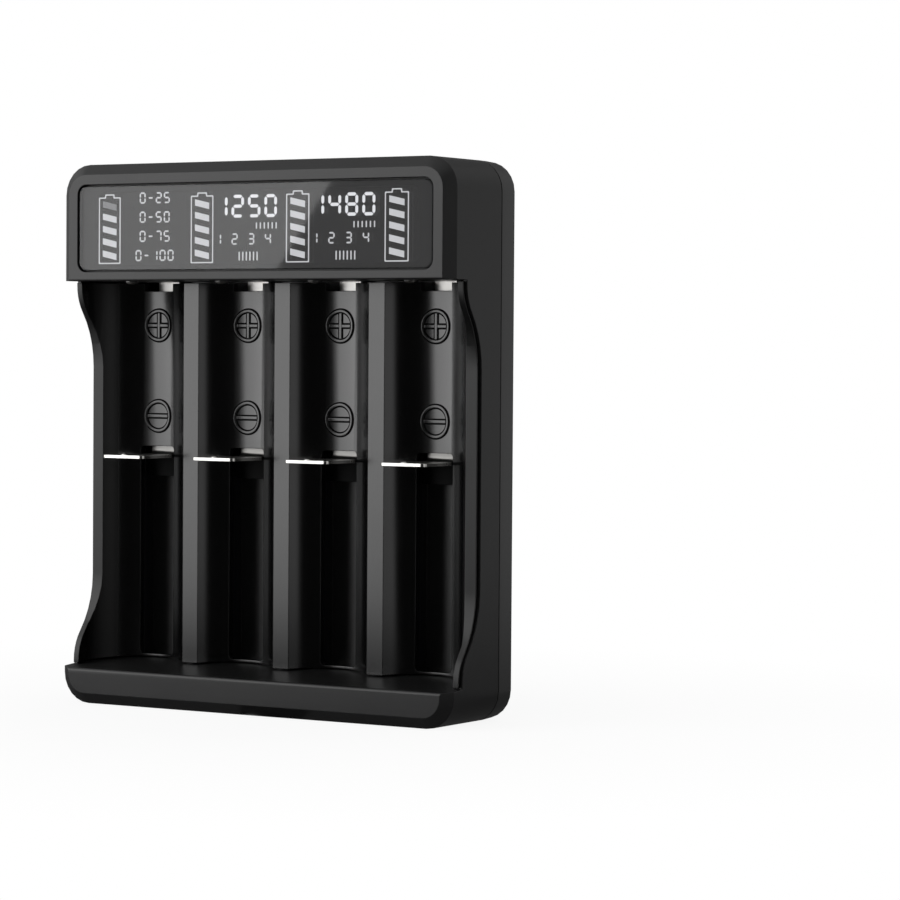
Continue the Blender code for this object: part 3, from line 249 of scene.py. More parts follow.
def circuit_laminate(name):
    """Green lacquered laminate with copper runs that show as paler lines."""
    surface = Surface(name)
    runs = surface.add("ShaderNodeTexBrick", {"offset": 0.37, "squash": 1.6, "squash_frequency": 3},
                       {"Vector": surface.add("ShaderNodeMapping", None,
                                              {"Vector": surface.place, "Rotation": (math.pi / 2, 0, 0)}),
                        "Scale": 320.0, "Mortar Size": 0.07, "Mortar Smooth": 0.1, "Bias": 0.0}, 1)
    surface.put(Base_Color=surface.blend(runs, (0.012, 0.075, 0.03), (0.05, 0.2, 0.08)),
                Roughness=runs * 0.1 + 0.32,
                Normal=surface.relief(runs, 0.02 * MM))
    return surface.material


def merged_copy(node, name):
    """New mesh object with a node's faces joined along their edges and smooth over round forms."""
    source = NODES[node].data
    places, faces, index_of = [], [], {}
    for polygon in source.polygons:
        corners = []
        for vertex in polygon.vertices:
            place = source.vertices[vertex].co
            key = tuple(round(part / MERGE) for part in place)
            if key not in index_of:
                index_of[key] = len(places)
                places.append(place.copy())
            corners.append(index_of[key])
        if len(set(corners)) == len(corners):
            faces.append(corners)
    mesh = bpy.data.meshes.new(name)
    mesh.from_pydata(places, [], faces)
    mesh.shade_smooth()
    mesh.set_sharp_from_angle(angle=SMOOTH_ANGLE)
    piece = bpy.data.objects.new(name, mesh)
    bpy.context.scene.collection.objects.link(piece)
    return piece


def dress(node, surface, body=HOUSING):
    """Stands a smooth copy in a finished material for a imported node."""
    piece = merged_copy(node, f"{node}_finish")
    piece.data.materials.append(surface)
    weighted = piece.modifiers.new("even_shading", "WEIGHTED_NORMAL")
    weighted.keep_sharp = True
    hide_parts(node)
    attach(piece, body)
    return piece


def mesh_piece(name, bm, surface=None):
    """Object in place that holds the mesh."""
    mesh = bpy.data.meshes.new(name)
    bm.to_mesh(mesh)
    bm.free()
    if surface is not None:
        mesh.materials.append(surface)
    piece = bpy.data.objects.new(name, mesh)
    bpy.context.scene.collection.objects.link(piece)
    return piece


def joined(name, pieces, surface):
    """One object from several, which are removed."""
    bm = bmesh.new()
    for piece in pieces:
        bm.from_mesh(piece.data)
        bpy.data.objects.remove(piece)
    return mesh_piece(name, bm, surface)


def rounded_loop(corners, radius, steps):
    """Closed outline whose corners are rounded with short curves."""
    points = []
    for index, corner in enumerate(corners):
        corner = Vector(corner)
        before = (Vector(corners[index - 1]) - corner).normalized() * radius
        after = (Vector(corners[(index + 1) % len(corners)]) - corner).normalized() * radius
        for step in range(steps + 1):
            t = step / steps
            points.append(corner + before * (1 - t) ** 2 + after * t ** 2)
    return points


def wafer(bm, outer, depth, thickness, inner=None):
    """Adds a thin flat body over an outline of (x, z) points, or a frame if an inner outline is given."""
    front, back = FRONT_Y + depth, FRONT_Y + depth + thickness
    rings = [[bm.verts.new((p[0], y, p[1])) for p in loop]
             for loop in ((outer, inner) if inner else (outer,)) for y in (front, back)]
    count = len(outer)
    made = []
    for index in range(count):
        after = (index + 1) % count
        made.append(bm.faces.new((rings[0][index], rings[0][after], rings[1][after], rings[1][index])))
        if inner:
            made.append(bm.faces.new((rings[2][after], rings[2][index], rings[3][index], rings[3][after])))
            made.append(bm.faces.new((rings[0][after], rings[0][index], rings[2][index], rings[2][after])))
            made.append(bm.faces.new((rings[1][index], rings[1][after], rings[3][after], rings[3][index])))
    if not inner:
        made.append(bm.faces.new(rings[0][::-1]))
        made.append(bm.faces.new(rings[1]))
    bmesh.ops.recalc_face_normals(bm, faces=made)


def node_graph(name, inputs):
    """New Geometry Nodes tree with named inputs, and its group's input and output nodes."""
    tree = bpy.data.node_groups.new(name, "GeometryNodeTree")
    tree.interface.new_socket(name="Geometry", in_out="OUTPUT", socket_type="NodeSocketGeometry")
    for label, kind in inputs:
        tree.interface.new_socket(name=label, in_out="INPUT", socket_type=kind)
    return tree, tree.nodes.new("NodeGroupInput"), tree.nodes.new("NodeGroupOutput")


def linked(tree, kind, links, settings=None, values=None):
    """Adds a node to a Geometry Nodes tree and links sockets to its inputs."""
    node = tree.nodes.new(kind)
    for key, value in (settings or {}).items():
        setattr(node, key, value)
    for key, value in (values or {}).items():
        node.inputs[key].default_value = value
    for key, socket in links.items():
        tree.links.new(socket, node.inputs[key])
    return node


def repeat_graph():
    """Tree that sets copies of an object in a straight row."""
    tree, given, result = node_graph("Row of copies", [
        ("Piece", "NodeSocketObject"), ("Count", "NodeSocketInt"), ("Start", "NodeSocketVector"),
        ("Step", "NodeSocketVector"), ("Finish", "NodeSocketMaterial")])
    line = linked(tree, "GeometryNodeMeshLine", {"Count": given.outputs["Count"],
                                                 "Start Location": given.outputs["Start"],
                                                 "Offset": given.outputs["Step"]})
    source = linked(tree, "GeometryNodeObjectInfo", {"Object": given.outputs["Piece"]})
    copies = linked(tree, "GeometryNodeInstanceOnPoints", {"Points": line.outputs["Mesh"],
                                                           "Instance": source.outputs["Geometry"]})
    solid = linked(tree, "GeometryNodeRealizeInstances", {"Geometry": copies.outputs["Instances"]})
    finished = linked(tree, "GeometryNodeSetMaterial", {"Geometry": solid.outputs["Geometry"],
                                                        "Material": given.outputs["Finish"]})
    tree.links.new(finished.outputs["Geometry"], result.inputs["Geometry"])
    return tree


def coil_graph():
    """Tree that winds a wire into a coil about the Z axis, downwards from z = 0."""
    tree, given, result = node_graph("Wound coil", [
        ("Turns", "NodeSocketFloat"), ("Radius", "NodeSocketFloat"), ("Wire", "NodeSocketFloat"),
        ("Length", "NodeSocketFloat"), ("Finish", "NodeSocketMaterial")])
    drop = linked(tree, "ShaderNodeMath", {0: given.outputs["Length"]}, {"operation": "MULTIPLY"}, {1: -1.0})
    spiral = linked(tree, "GeometryNodeCurveSpiral", {
        "Rotations": given.outputs["Turns"], "Start Radius": given.outputs["Radius"],
        "End Radius": given.outputs["Radius"], "Height": drop.outputs[0]}, None, {"Resolution": 18})
    section = linked(tree, "GeometryNodeCurvePrimitiveCircle", {"Radius": given.outputs["Wire"]}, None,
                     {"Resolution": 8})
    wound = linked(tree, "GeometryNodeCurveToMesh", {"Curve": spiral.outputs["Curve"],
                                                     "Profile Curve": section.outputs["Curve"]}, None,
                   {"Fill Caps": True})
    smooth = linked(tree, "GeometryNodeSetShadeSmooth", {"Geometry": wound.outputs["Mesh"]})
    solid = linked(tree, "GeometryNodeRealizeInstances", {"Geometry": smooth.outputs["Geometry"]})
    finished = linked(tree, "GeometryNodeSetMaterial", {"Geometry": solid.outputs["Geometry"],
                                                        "Material": given.outputs["Finish"]})
    tree.links.new(finished.outputs["Geometry"], result.inputs["Geometry"])
    return tree


def grown(name, tree, values):
    """Mesh object that a Geometry Nodes tree makes from named inputs."""
    carrier = bpy.data.objects.new(name, bpy.data.meshes.new(name))
    bpy.context.scene.collection.objects.link(carrier)
    modifier = carrier.modifiers.new("grow", "NODES")
    modifier.node_group = tree
    for item in tree.interface.items_tree:
        if item.in_out == "INPUT" and item.name in values:
            modifier[item.identifier] = values[item.name]
    depsgraph = bpy.context.evaluated_depsgraph_get()
    mesh = bpy.data.meshes.new_from_object(carrier.evaluated_get(depsgraph))
    carrier.modifiers.remove(modifier)
    old = carrier.data
    carrier.data = mesh
    bpy.data.meshes.remove(old)
    mesh.name = name
    return carrier


def row_of(name, piece, count, start, step, surface):
    """A row of copies as one mesh; the piece itself is removed."""
    tree = bpy.data.node_groups.get("Row of copies") or repeat_graph()
    made = grown(name, tree, {"Piece": piece, "Count": count, "Start": Vector(start), "Step": Vector(step),
                              "Finish": surface})
    bpy.data.objects.remove(piece)
    return made


def a_length(label, words, value):
    """Property for a length in metres."""
    return FloatProperty(name=label, description=words, default=value, unit="LENGTH")


def a_share(label, words, value):
    """Property for a share from 0 to 1."""
    return FloatProperty(name=label, description=words, default=value, min=0, max=1)


def an_amount(label, words, value):
    """Property for a brightness or factor of 0 or more."""
    return FloatProperty(name=label, description=words, default=value, min=0)


def an_angle(label, words, degrees):
    """Property for an angle, given in degrees."""
    return FloatProperty(name=label, description=words, default=math.radians(degrees), subtype="ANGLE")


def a_colour(label, words, value):
    """Property for a colour of three parts."""
    return FloatVectorProperty(name=label, description=words, subtype="COLOR", default=value, min=0, max=1)


def a_pair(label, words, value):
    """Property for two measures in metres."""
    return FloatVectorProperty(name=label, description=words, size=2, default=value)


class PlasticSettings(bpy.types.PropertyGroup):
    """Sizes and colour of the moulded housing's finish."""
    colour: a_colour("Colour", "Colour of the moulded plastic", (0.0055, 0.0055, 0.0057))
    # The tray's colour is darker than the shell's: partly the tray's own plastic, partly painted shade for
    # the deep bays
    tray_colour: a_colour("Tray colour", "Colour of the glossier bay tray", (0.0014, 0.0014, 0.0015))
    shell_roughness: a_share("Shell roughness", "Roughness of the shell and cover", 0.37)
    tray_roughness: a_share("Tray roughness", "Roughness of the bays", 0.2)
    shell_gloss: a_share("Shell gloss", "Specular level of the shell", 0.385)
    cover_gloss: a_share("Cover gloss", "Specular level of the rear cover", 0.7)
    rim_gloss: a_share("Rim gloss", "Specular level of the tray's rims", 0.3)
    rim_reach: a_length("Rim reach", "Distance from the side that the rims span", 4.6 * MM)
    tray_gloss: a_share("Tray gloss", "Specular level of the bays", 0.6)
    cover_round: a_length("Cover's round", "Radius of the solid cover's rear edge", 3.5 * MM)
    cover_edge: a_length("Cover's edge", "Radius of the finished cover's rear edge", 0.4 * MM)
    cover_corner: a_length("Cover's corner", "Radius of the corners of the outline", 6.0 * MM)
    grain_size: a_length("Grain size", "Width of the eroded grain", 0.16 * MM)
    grain_depth: a_length("Grain depth", "Depth of the shell's grain", 0.012 * MM)
    tray_grain_depth: a_length("Tray grain depth", "Depth of the bays' grain", 0.004 * MM)
    cloud_size: a_length("Gloss patches", "Width of faint differences in gloss", 14 * MM)
    edge_radius: a_length("Edge radius", "Softness of moulded edges", 0.22 * MM)


class DisplaySettings(bpy.types.PropertyGroup):
    """Sizes and colours of the window and its lit symbols."""
    window_roughness: a_share("Window roughness", "Roughness of the window", 0.012)
    window_opacity: a_share("Window opacity", "How much the smoked window hides", 0.55)
    window_gloss: a_share("Window gloss", "Specular level of the window", 0.7)
    window_tilt: an_angle("Window tilt", "How far the window's gloss leans to the right", 5.85)
    symbol_colour: a_colour("Symbol colour", "Colour of the lit symbols", (0.95, 0.96, 1.0))
    digit_strength: an_amount("Digit strength", "Light of the lit digits", 1.45)
    symbol_strength: an_amount("Symbol strength", "Light of the lit symbols", 0.95)
    dim_strength: an_amount("Dim strength", "Light of an unlit step", 0.1)
    symbol_depth: a_length("Symbol depth", "Depth of the symbols behind the front face", 0.3 * MM)
    symbol_thickness: a_length("Symbol thickness", "Thickness of the symbols", 0.05 * MM)
    icon_pitch: a_length("Icon pitch", "Spacing of the cell symbols", 22.4 * MM)
    icon_width: a_length("Icon width", "Width of a cell symbol", 5.35 * MM)
    icon_height: a_length("Icon height", "Height of a cell symbol", 13.1 * MM)
    icon_low: a_length("Icon foot", "Height of the cell symbols' foot", 87.3 * MM)
    icon_middle: a_length("Icons' middle", "X of the middle of the row of symbols", -0.25 * MM)
    stroke: a_length("Stroke", "Line width of a cell symbol", 0.24 * MM)
    cap_reach: a_length("Cap reach", "Half the width of a cell symbol's cap", 1.15 * MM)
    cap_height: a_length("Cap height", "Height of a cell symbol's cap", 0.6 * MM)
    icon_corner: a_length("Icon corner", "Radius of a cell symbol's corners", 0.22 * MM)
    bar_count: IntProperty(name="Steps", description="Charge steps in a cell symbol", default=5, min=1)
    bar_reach: a_length("Step reach", "Half the width of a charge step", 1.68 * MM)
    bar_slant: a_length("Step slant", "Half the drop of a charge step across its width", 0.36 * MM)
    bar_height: a_length("Step height", "Height of a charge step", 1.22 * MM)
    bar_foot: a_length("Step foot", "Height of the first step above the symbol's foot", 0.75 * MM)
    digit_offset: a_length("Digit offset", "Distance from a cell symbol to its reading", 3.15 * MM)
    digit_height: a_length("Digit height", "Height of a digit", 4.4 * MM)
    digit_width: a_length("Digit width", "Width of a digit", 2.9 * MM)
    digit_pitch: a_length("Digit pitch", "Spacing of the digits", 3.85 * MM)
    digit_stroke: a_length("Digit stroke", "Width of a digit's strokes", 0.62 * MM)
    digit_gap: a_length("Digit gap", "Room at each end of a digit's stroke", 0.12 * MM)
    digit_low: a_length("Digit foot", "Height of the digits' foot", 96.0 * MM)
    small_scale: an_amount("Small digits", "Size of the small digits against the large", 0.5)
    small_pitch: a_length("Small digit pitch", "Spacing of the small digits", 1.95 * MM)
    left_number: StringProperty(name="Left number", description="Digits of the left reading", default="1250")
    right_number: StringProperty(name="Right number", description="Digits of the right reading",
                                 default="1480")
    column_shift: a_length("Column shift", "Column's distance from midway between symbols", -0.2 * MM)
    column_low: a_length("Column foot", "Height of the column's foot", 87.8 * MM)
    column_pitch: a_length("Column pitch", "Spacing of the column's rows", 3.75 * MM)
    index_offset: a_length("Index offset", "Distance from a symbol to its row of numbers", 9.7 * MM)
    index_low: a_length("Index foot", "Height of the rows of numbers", 90.8 * MM)
    tick_pitch: a_length("Tick pitch", "Spacing of the ticks in a scale", 0.78 * MM)
    tick_width: a_length("Tick width", "Width of a tick", 0.27 * MM)


class MarkSettings(bpy.types.PropertyGroup):
    """Sizes of the polarity marks in the bays."""
    trough_radius: a_length("Bay radius", "Radius of a bay's round floor", 11.6 * MM)
    trough_axis: a_length("Bay axis", "Depth of a bay's axis behind the front face", 4.17 * MM)
    ring_radius: a_length("Ring radius", "Outer radius of a mark's ring", 3.2 * MM)
    ring_width: a_length("Ring width", "Width of a mark's ring", 0.55 * MM)
    bar_width: a_length("Bar width", "Width of a mark's bars", 0.66 * MM)
    bar_reach: a_length("Bar reach", "Half the length of a mark's bars", 2.5 * MM)
    rise: a_length("Rise", "How far the marks stand out", 0.2 * MM)
    # The dark line around a mark is a near-black strip of painted shade at the mark's raised edges
    outline: a_length("Outline", "Width of the dark line around a mark", 0.26 * MM)
    outline_rise: a_length("Outline's rise", "How far the dark line stands out", 0.07 * MM)
    shift: a_length("Shift", "Distance of the marks from the bays' middles", -0.25 * MM)
    plus_height: a_length("Plus height", "Height of the upper marks", 75.33 * MM)
    minus_height: a_length("Minus height", "Height of the lower marks", 57.13 * MM)


class SpringSettings(bpy.types.PropertyGroup):
    """Sizes of the return springs."""
    turns: FloatProperty(name="Turns", description="Turns of wire in a spring", default=26.0, min=1)
    wire: FloatProperty(name="Wire", description="Radius of the wire", default=0.22 * MM, unit="LENGTH")


class StudioSettings(bpy.types.PropertyGroup):
    """Camera, lights and floor."""
    camera_place: FloatVectorProperty(name="Camera", description="Place of the camera",
                                      default=(0.37655, -0.54668, 0.07158), subtype="TRANSLATION",
                                      precision=5)
    yaw: FloatProperty(name="Yaw", description="Turn of the camera to the right of the front",
                       default=math.radians(31.73), subtype="ANGLE")
    pitch: FloatProperty(name="Pitch", description="Downward tilt of the camera",
                         default=math.radians(1.75), subtype="ANGLE")
    roll: FloatProperty(name="Roll", description="Roll of the camera", default=math.radians(0.40),
                        subtype="ANGLE")
    focal_length: FloatProperty(name="Focal length", description="Focal length in millimetres",
                                default=136.0, min=1)
    glare_top: FloatVectorProperty(name="Glare, top", description="X and Z where the glare's edge ends",
                                   size=2, default=(0.0191, 0.1032))
    glare_foot: FloatVectorProperty(name="Glare, foot", description="X and Z where the glare's edge starts",
                                    size=2, default=(0.0062, 0.0859))
    softbox_bearing: an_angle("Softbox bearing", "Turn of the softbox to the left", 46)
    softbox_distance: a_length("Softbox distance", "Distance of the softbox", 0.9)
    softbox_size: a_pair("Softbox size", "Width and height of the softbox", (0.9, 1.1))
    softbox_radiance: an_amount("Softbox light", "Brightness of the softbox's face", 2.3)
    core_offset: a_length("Core offset", "Distance of the brighter core from the edge", 0.38)
    core_width: a_length("Core width", "Width of the softbox's brighter core", 0.4)
    core_radiance: an_amount("Core light", "Brightness that the core adds", 0.8)
    ambient: an_amount("Ambient", "Light of the room on matt surfaces", 0.65)
    wall_radius: a_length("Wall distance", "Distance of the walls that reflections show", 0.95)
    wall_height: a_length("Wall height", "Height of the walls", 1.0)
    wall_start: an_angle("Walls' start", "Bearing at which the walls start", -18)
    strip_start: an_angle("Strip start", "Bearing at which the paler strip starts", 53)
    strip_end: an_angle("Strip end", "Bearing at which the paler strip ends", 67)
    wall_end: an_angle("Walls' end", "Bearing at which the walls end", 255)
    wall_front: an_amount("Front wall", "Brightness of the wall in front", 0.012)
    wall_strip: an_amount("Strip", "Brightness of the paler strip", 0.9)
    wall_side: an_amount("Side wall", "Brightness of the wall on the right", 0.42)
    wall_rear: an_amount("Rear wall", "Brightness of the wall behind", 0.15)
    ceiling: an_amount("Ceiling", "Brightness of the ceiling in reflections", 0.7)
    apron_start: an_angle("Bright apron's start", "Bearing at which the apron gets bright", 288)
    apron_light: an_amount("Bright apron", "Brightness of the apron before the softbox", 2.4)
    # The apron's dark foot is a painted shadow of the object on the floor, seen only in reflections
    apron_foot: an_amount("Apron's foot", "Brightness of the apron's inner edge", 0.1)
    apron_inner: a_length("Apron, inside", "Distance at which the apron starts to pale", 0.12)
    apron_outer: a_length("Apron, outside", "Distance at which the apron is like the walls", 0.32)
    floor_near: a_share("Floor by the foot", "White's share next to the object", 0.9)


class ChargerSettings(bpy.types.PropertyGroup):
    """All sizes and colours of the charger's finish."""
    plastic: PointerProperty(type=PlasticSettings)
    display: PointerProperty(type=DisplaySettings)
    marks: PointerProperty(type=MarkSettings)
    springs: PointerProperty(type=SpringSettings)
    studio: PointerProperty(type=StudioSettings)


def outline_inset(x, z, corner):
    """Distance of a point inside the housing's rounded outline."""
    beside = CAD_HIGH.x - abs(x)
    over = min(CAD_HIGH.z - z, z - CAD_LOW.z)
    if beside < corner and over < corner:
        return corner - math.hypot(corner - beside, corner - over)
    return min(beside, over)


def tighten_edge(piece, settings):
    """Pushes the cover's rounded rear edge back to a smaller radius, as the photograph shows it."""
    large, small = settings.cover_round, settings.cover_edge
    above, below = 0.02 * MM, 0.06 * MM
    for vertex in piece.data.vertices:
        behind = CAD_HIGH.y - vertex.co.y
        inset = outline_inset(vertex.co.x, vertex.co.z, settings.cover_corner)
        inside = large - math.hypot(large - inset, large - behind)
        if max(inset, behind) < large and -above < inside < below:
            reach = min(max(small - inset, 0), small)
            vertex.co.y = CAD_HIGH.y - (small - math.sqrt(small ** 2 - reach ** 2))
    piece.data.set_sharp_from_angle(angle=SMOOTH_ANGLE)


def matt_rims(piece, surface, settings):
    """Gives the narrow front rims at both sides of the tray the shell's matt finish."""
    piece.data.materials.append(surface)
    for face in piece.data.polygons:
        if face.normal.y < -0.3 and abs(face.center.x) > CAD_HIGH.x - settings.rim_reach:
            face.material_index = 1


class CHARGER_OT_housing(bpy.types.Operator):
    """Finish the front shell, the bay tray and the rear cover"""
    bl_idname = "charger.housing"
    bl_label = "Finish the housing"

    def execute(self, context):
        settings = context.scene.charger.plastic
        shell = moulded_plastic("shell_plastic", settings, settings.colour, settings.shell_roughness,
                                settings.grain_depth, settings.shell_gloss)
        cover = moulded_plastic("cover_plastic", settings, settings.colour, settings.shell_roughness,
                                settings.grain_depth, settings.cover_gloss)
        # The tray's darker colour carries painted shade for the deep bays
        tray = moulded_plastic("tray_plastic", settings, settings.tray_colour, settings.tray_roughness,
                               settings.tray_grain_depth, settings.tray_gloss)
        dress("front_shell", shell)
        tighten_edge(dress("rear_cover", cover), settings)
        # The rims share the tray's darker colour, painted shade included
        rim = moulded_plastic("rim_plastic", settings, settings.tray_colour, settings.shell_roughness,
                              settings.tray_grain_depth, settings.rim_gloss)
        matt_rims(dress("bay_tray", tray), rim, settings)
        return {"FINISHED"}


# Ends beside a cell symbol, height above the ground and length of the ticks, for each row of them.
TICK_ROWS = ((12.85 * MM, 17.45 * MM, 94.4 * MM, 1.2 * MM), (8.85 * MM, 13.05 * MM, 88.6 * MM, 1.7 * MM))
SEGMENTS = {"0": "abcdef", "1": "bc", "2": "abged", "3": "abgcd", "4": "fgbc", "5": "afgcd", "6": "afgedc",
            "7": "abc", "8": "abcdefg", "9": "abcdfg", "-": "g"}


def stroke_outline(start, end, width):
    """Slim six-sided outline of a digit's stroke, pointed at both ends."""
    start, end = Vector(start), Vector(end)
    along = (end - start).normalized()
    across = Vector((-along.y, along.x)) * width / 2
    tip = along * width / 2
    return [start, start + tip + across, end - tip + across, end, end - tip - across, start + tip - across]


def digit_strokes(figure, left, low, settings, scale=1.0):
    """Outlines of the strokes of one digit."""
    stroke = settings.digit_stroke * scale
    half = stroke / 2
    right, high = left + settings.digit_width * scale, low + settings.digit_height * scale
    middle = (low + high) / 2
    gap = settings.digit_gap * scale
    x0, x1, z0, z1 = left + half, right - half, low + half, high - half
    ends = {"a": ((x0, z1), (x1, z1)), "d": ((x0, z0), (x1, z0)), "g": ((x0, middle), (x1, middle)),
            "f": ((x0, middle), (x0, z1)), "b": ((x1, middle), (x1, z1)),
            "e": ((x0, z0), (x0, middle)), "c": ((x1, z0), (x1, middle))}
    outlines = []
    for letter in SEGMENTS[figure]:
        start, end = (Vector(point) for point in ends[letter])
        inset = (end - start).normalized() * gap
        outlines.append(stroke_outline(start + inset, end - inset, stroke))
    return outlines


def figures(bm, number, left, low, pitch, settings, scale=1.0):
    """Adds the digits of a number to the mesh; a space leaves a gap."""
    for place, figure in enumerate(number):
        if figure != " ":
            for outline in digit_strokes(figure, left + place * pitch, low, settings, scale):
                wafer(bm, outline, settings.symbol_depth, settings.symbol_thickness)


def centred_figures(bm, number, middle, low, settings):
    """Adds a number in small digits about a value of X."""
    pitch = settings.small_pitch
    width = (len(number) - 1) * pitch + settings.digit_width * settings.small_scale
    figures(bm, number, middle - width / 2, low, pitch, settings, settings.small_scale)


def cell_symbol(bm, middle, settings):
    """Adds the outline of a cell, with its cap, to the mesh."""
    half, foot, stroke = settings.icon_width / 2, settings.icon_low, settings.stroke
    top = foot + settings.icon_height
    cap_half, cap_top = settings.cap_reach, top + settings.cap_height

    def outline(inset):
        corners = [(half - inset, foot + inset), (half - inset, top - inset),
                   (cap_half - inset, top - inset), (cap_half - inset, cap_top - inset),
                   (-cap_half + inset, cap_top - inset), (-cap_half + inset, top - inset),
                   (-half + inset, top - inset), (-half + inset, foot + inset)]
        return [(middle + p.x, p.y) for p in rounded_loop(corners, settings.icon_corner, 3)]

    wafer(bm, outline(0), settings.symbol_depth, settings.symbol_thickness, outline(stroke))


def charge_bars(name, middle, settings, first, count, surface):
    """Row of slanted charge steps in a cell symbol."""
    half, slant, height = settings.bar_reach, settings.bar_slant, settings.bar_height
    pitch = settings.icon_height / (settings.bar_count + 0.4)
    low = settings.icon_low + settings.bar_foot
    bm = bmesh.new()
    corners = [(-half, slant), (half, -slant), (half, height - slant), (-half, height + slant)]
    wafer(bm, corners, settings.symbol_depth, settings.symbol_thickness)
    return row_of(name, mesh_piece(f"{name}_source", bm), count, (middle, 0, low + first * pitch + slant),
                  (0, 0, pitch), surface)


def tick_row(name, left, right, middle, height, settings, surface):
    """Scale of upright ticks between two values of X."""
    bm = bmesh.new()
    half = settings.tick_width / 2
    corners = [(-half, -height / 2), (half, -height / 2), (half, height / 2), (-half, height / 2)]
    wafer(bm, rounded_loop(corners, half * 0.8, 2), settings.symbol_depth, settings.symbol_thickness)
    count = int((right - left) / settings.tick_pitch) + 1
    return row_of(name, mesh_piece(f"{name}_source", bm), count, (left, 0, middle),
                  ((right - left) / (count - 1), 0, 0), surface)


class CHARGER_OT_display(bpy.types.Operator):
    """Finish the window and light the symbols behind it"""
    bl_idname = "charger.display"
    bl_label = "Finish the display"

    def execute(self, context):
        settings = context.scene.charger.display
        dress("display_window", smoked_window("smoked_acrylic_finish", settings))
        dress("lcd_panel", plain_solid("dark_glass", (0.012, 0.012, 0.014), 0.25, 4 * MM, 0.001 * MM))
        dress("backlight_panel", plain_solid("milky_diffuser", (0.8, 0.8, 0.77), 0.5, 0.6 * MM, 0.003 * MM))
        dress("lcd_connector", plain_solid("striped_rubber", (0.32, 0.33, 0.35), 0.7, 0.5 * MM, 0.01 * MM,
                                           spread=0.6, stretch=(0.3, 1, 4)))

        glowing = lit_symbol("lit_digit", settings.symbol_colour, settings.digit_strength)
        bright = lit_symbol("lit_symbol", settings.symbol_colour, settings.symbol_strength)
        dim = lit_symbol("dim_symbol", settings.symbol_colour, settings.dim_strength)
        icons = [settings.icon_middle + (place - 1.5) * settings.icon_pitch for place in range(4)]
        bm = bmesh.new()
        for number, icon in ((settings.left_number, icons[1]), (settings.right_number, icons[2])):
            left = icon + settings.digit_offset
            figures(bm, number, left, settings.digit_low, settings.digit_pitch, settings)
        digits = mesh_piece("display_digits", bm, glowing)
        bm = bmesh.new()
        for middle in icons:
            cell_symbol(bm, middle, settings)
        column = (icons[0] + icons[1]) / 2 + settings.column_shift
        for place, level in enumerate(("0-100", "0-75", "0-50", "0-25")):
            low = settings.column_low + place * settings.column_pitch
            centred_figures(bm, level, column, low, settings)
        for icon in icons[1:3]:
            centred_figures(bm, "1 2 3 4", icon + settings.index_offset, settings.index_low, settings)
        parts = [mesh_piece("symbol_outlines", bm)]
        lit = settings.bar_count
        for place, middle in enumerate(icons):
            count = lit - 1 if place == 0 else lit
            parts.append(charge_bars(f"bars_{place}", middle, settings, 0, count, bright))
        scales = [(icon, row) for icon in icons[1:3] for row in TICK_ROWS]
        for place, (icon, (start, end, middle, height)) in enumerate(scales):
            parts.append(tick_row(f"scale_{place}", icon + start, icon + end, middle, height, settings,
                                  bright))
        symbols = joined("display_symbols", parts, bright)
        unlit = joined("unlit_step", [charge_bars("bar_unlit", icons[0], settings, lit - 1, 1, dim)], dim)
        for piece in (digits, symbols, unlit):
            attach(piece, HOUSING)
        return {"FINISHED"}


def bent_to_bay(u, v, rise, settings):
    """Point of a bay's round floor from a distance across it, a height and a rise towards the axis."""
    turn = u / settings.trough_radius
    radius = settings.trough_radius - rise
    return (radius * math.sin(turn), FRONT_Y + settings.trough_axis + radius * math.cos(turn), v)


def raised_strip(bm, rails, settings, rise, closed):
    """Adds a raised body along pairs of (u, v) points, its foot just under the floor."""
    soft = min(0.07 * MM, rise / 2)
    rings = []
    for left, right in rails:
        left, right = Vector(left), Vector(right)
        inward = (right - left).normalized() * soft
        section = [(left, -soft), (left, rise - soft), (left + inward, rise),
                   (right - inward, rise), (right, rise - soft), (right, -soft)]
        rings.append([bm.verts.new(bent_to_bay(point.x, point.y, rise, settings)) for point, rise in section])
    made = []
    pairs = zip(rings, rings[1:] + rings[:1]) if closed else zip(rings, rings[1:])
    for ring, following in pairs:
        for index in range(len(ring)):
            after = (index + 1) % len(ring)
            made.append(bm.faces.new((ring[index], ring[after], following[after], following[index])))
    if not closed:
        made += [bm.faces.new(rings[0]), bm.faces.new(rings[-1])]
    bmesh.ops.recalc_face_normals(bm, faces=made)


def mark_mesh(name, plus, settings, margin, rise):
    """Ring with one bar, or with two crossed bars, on a bay's floor about z = 0, wider by the margin."""
    bm = bmesh.new()
    outer = settings.ring_radius + margin
    inner = settings.ring_radius - settings.ring_width - margin
    steps = 56
    rails = []
    for index in range(steps):
        turn = math.tau * index / steps
        along = Vector((math.cos(turn), math.sin(turn)))
        rails.append((along * inner, along * outer))
    raised_strip(bm, rails, settings, rise, True)
    reach, half = settings.bar_reach + margin, settings.bar_width / 2 + margin
    cuts = [-reach + 2 * reach * index / 10 for index in range(11)]
    if plus:
        left = [u for u in cuts if u < -half] + [-half]
        right = [half] + [u for u in cuts if u > half]
        raised_strip(bm, [((u, -half), (u, half)) for u in left], settings, rise, False)
        raised_strip(bm, [((u, -half), (u, half)) for u in right], settings, rise, False)
        upright = [((-half, v), (half, v)) for v in (-reach, -half, half, reach)]
        raised_strip(bm, upright, settings, rise, False)
    else:
        raised_strip(bm, [((u, -half), (u, half)) for u in cuts], settings, rise, False)
    return mesh_piece(name, bm)


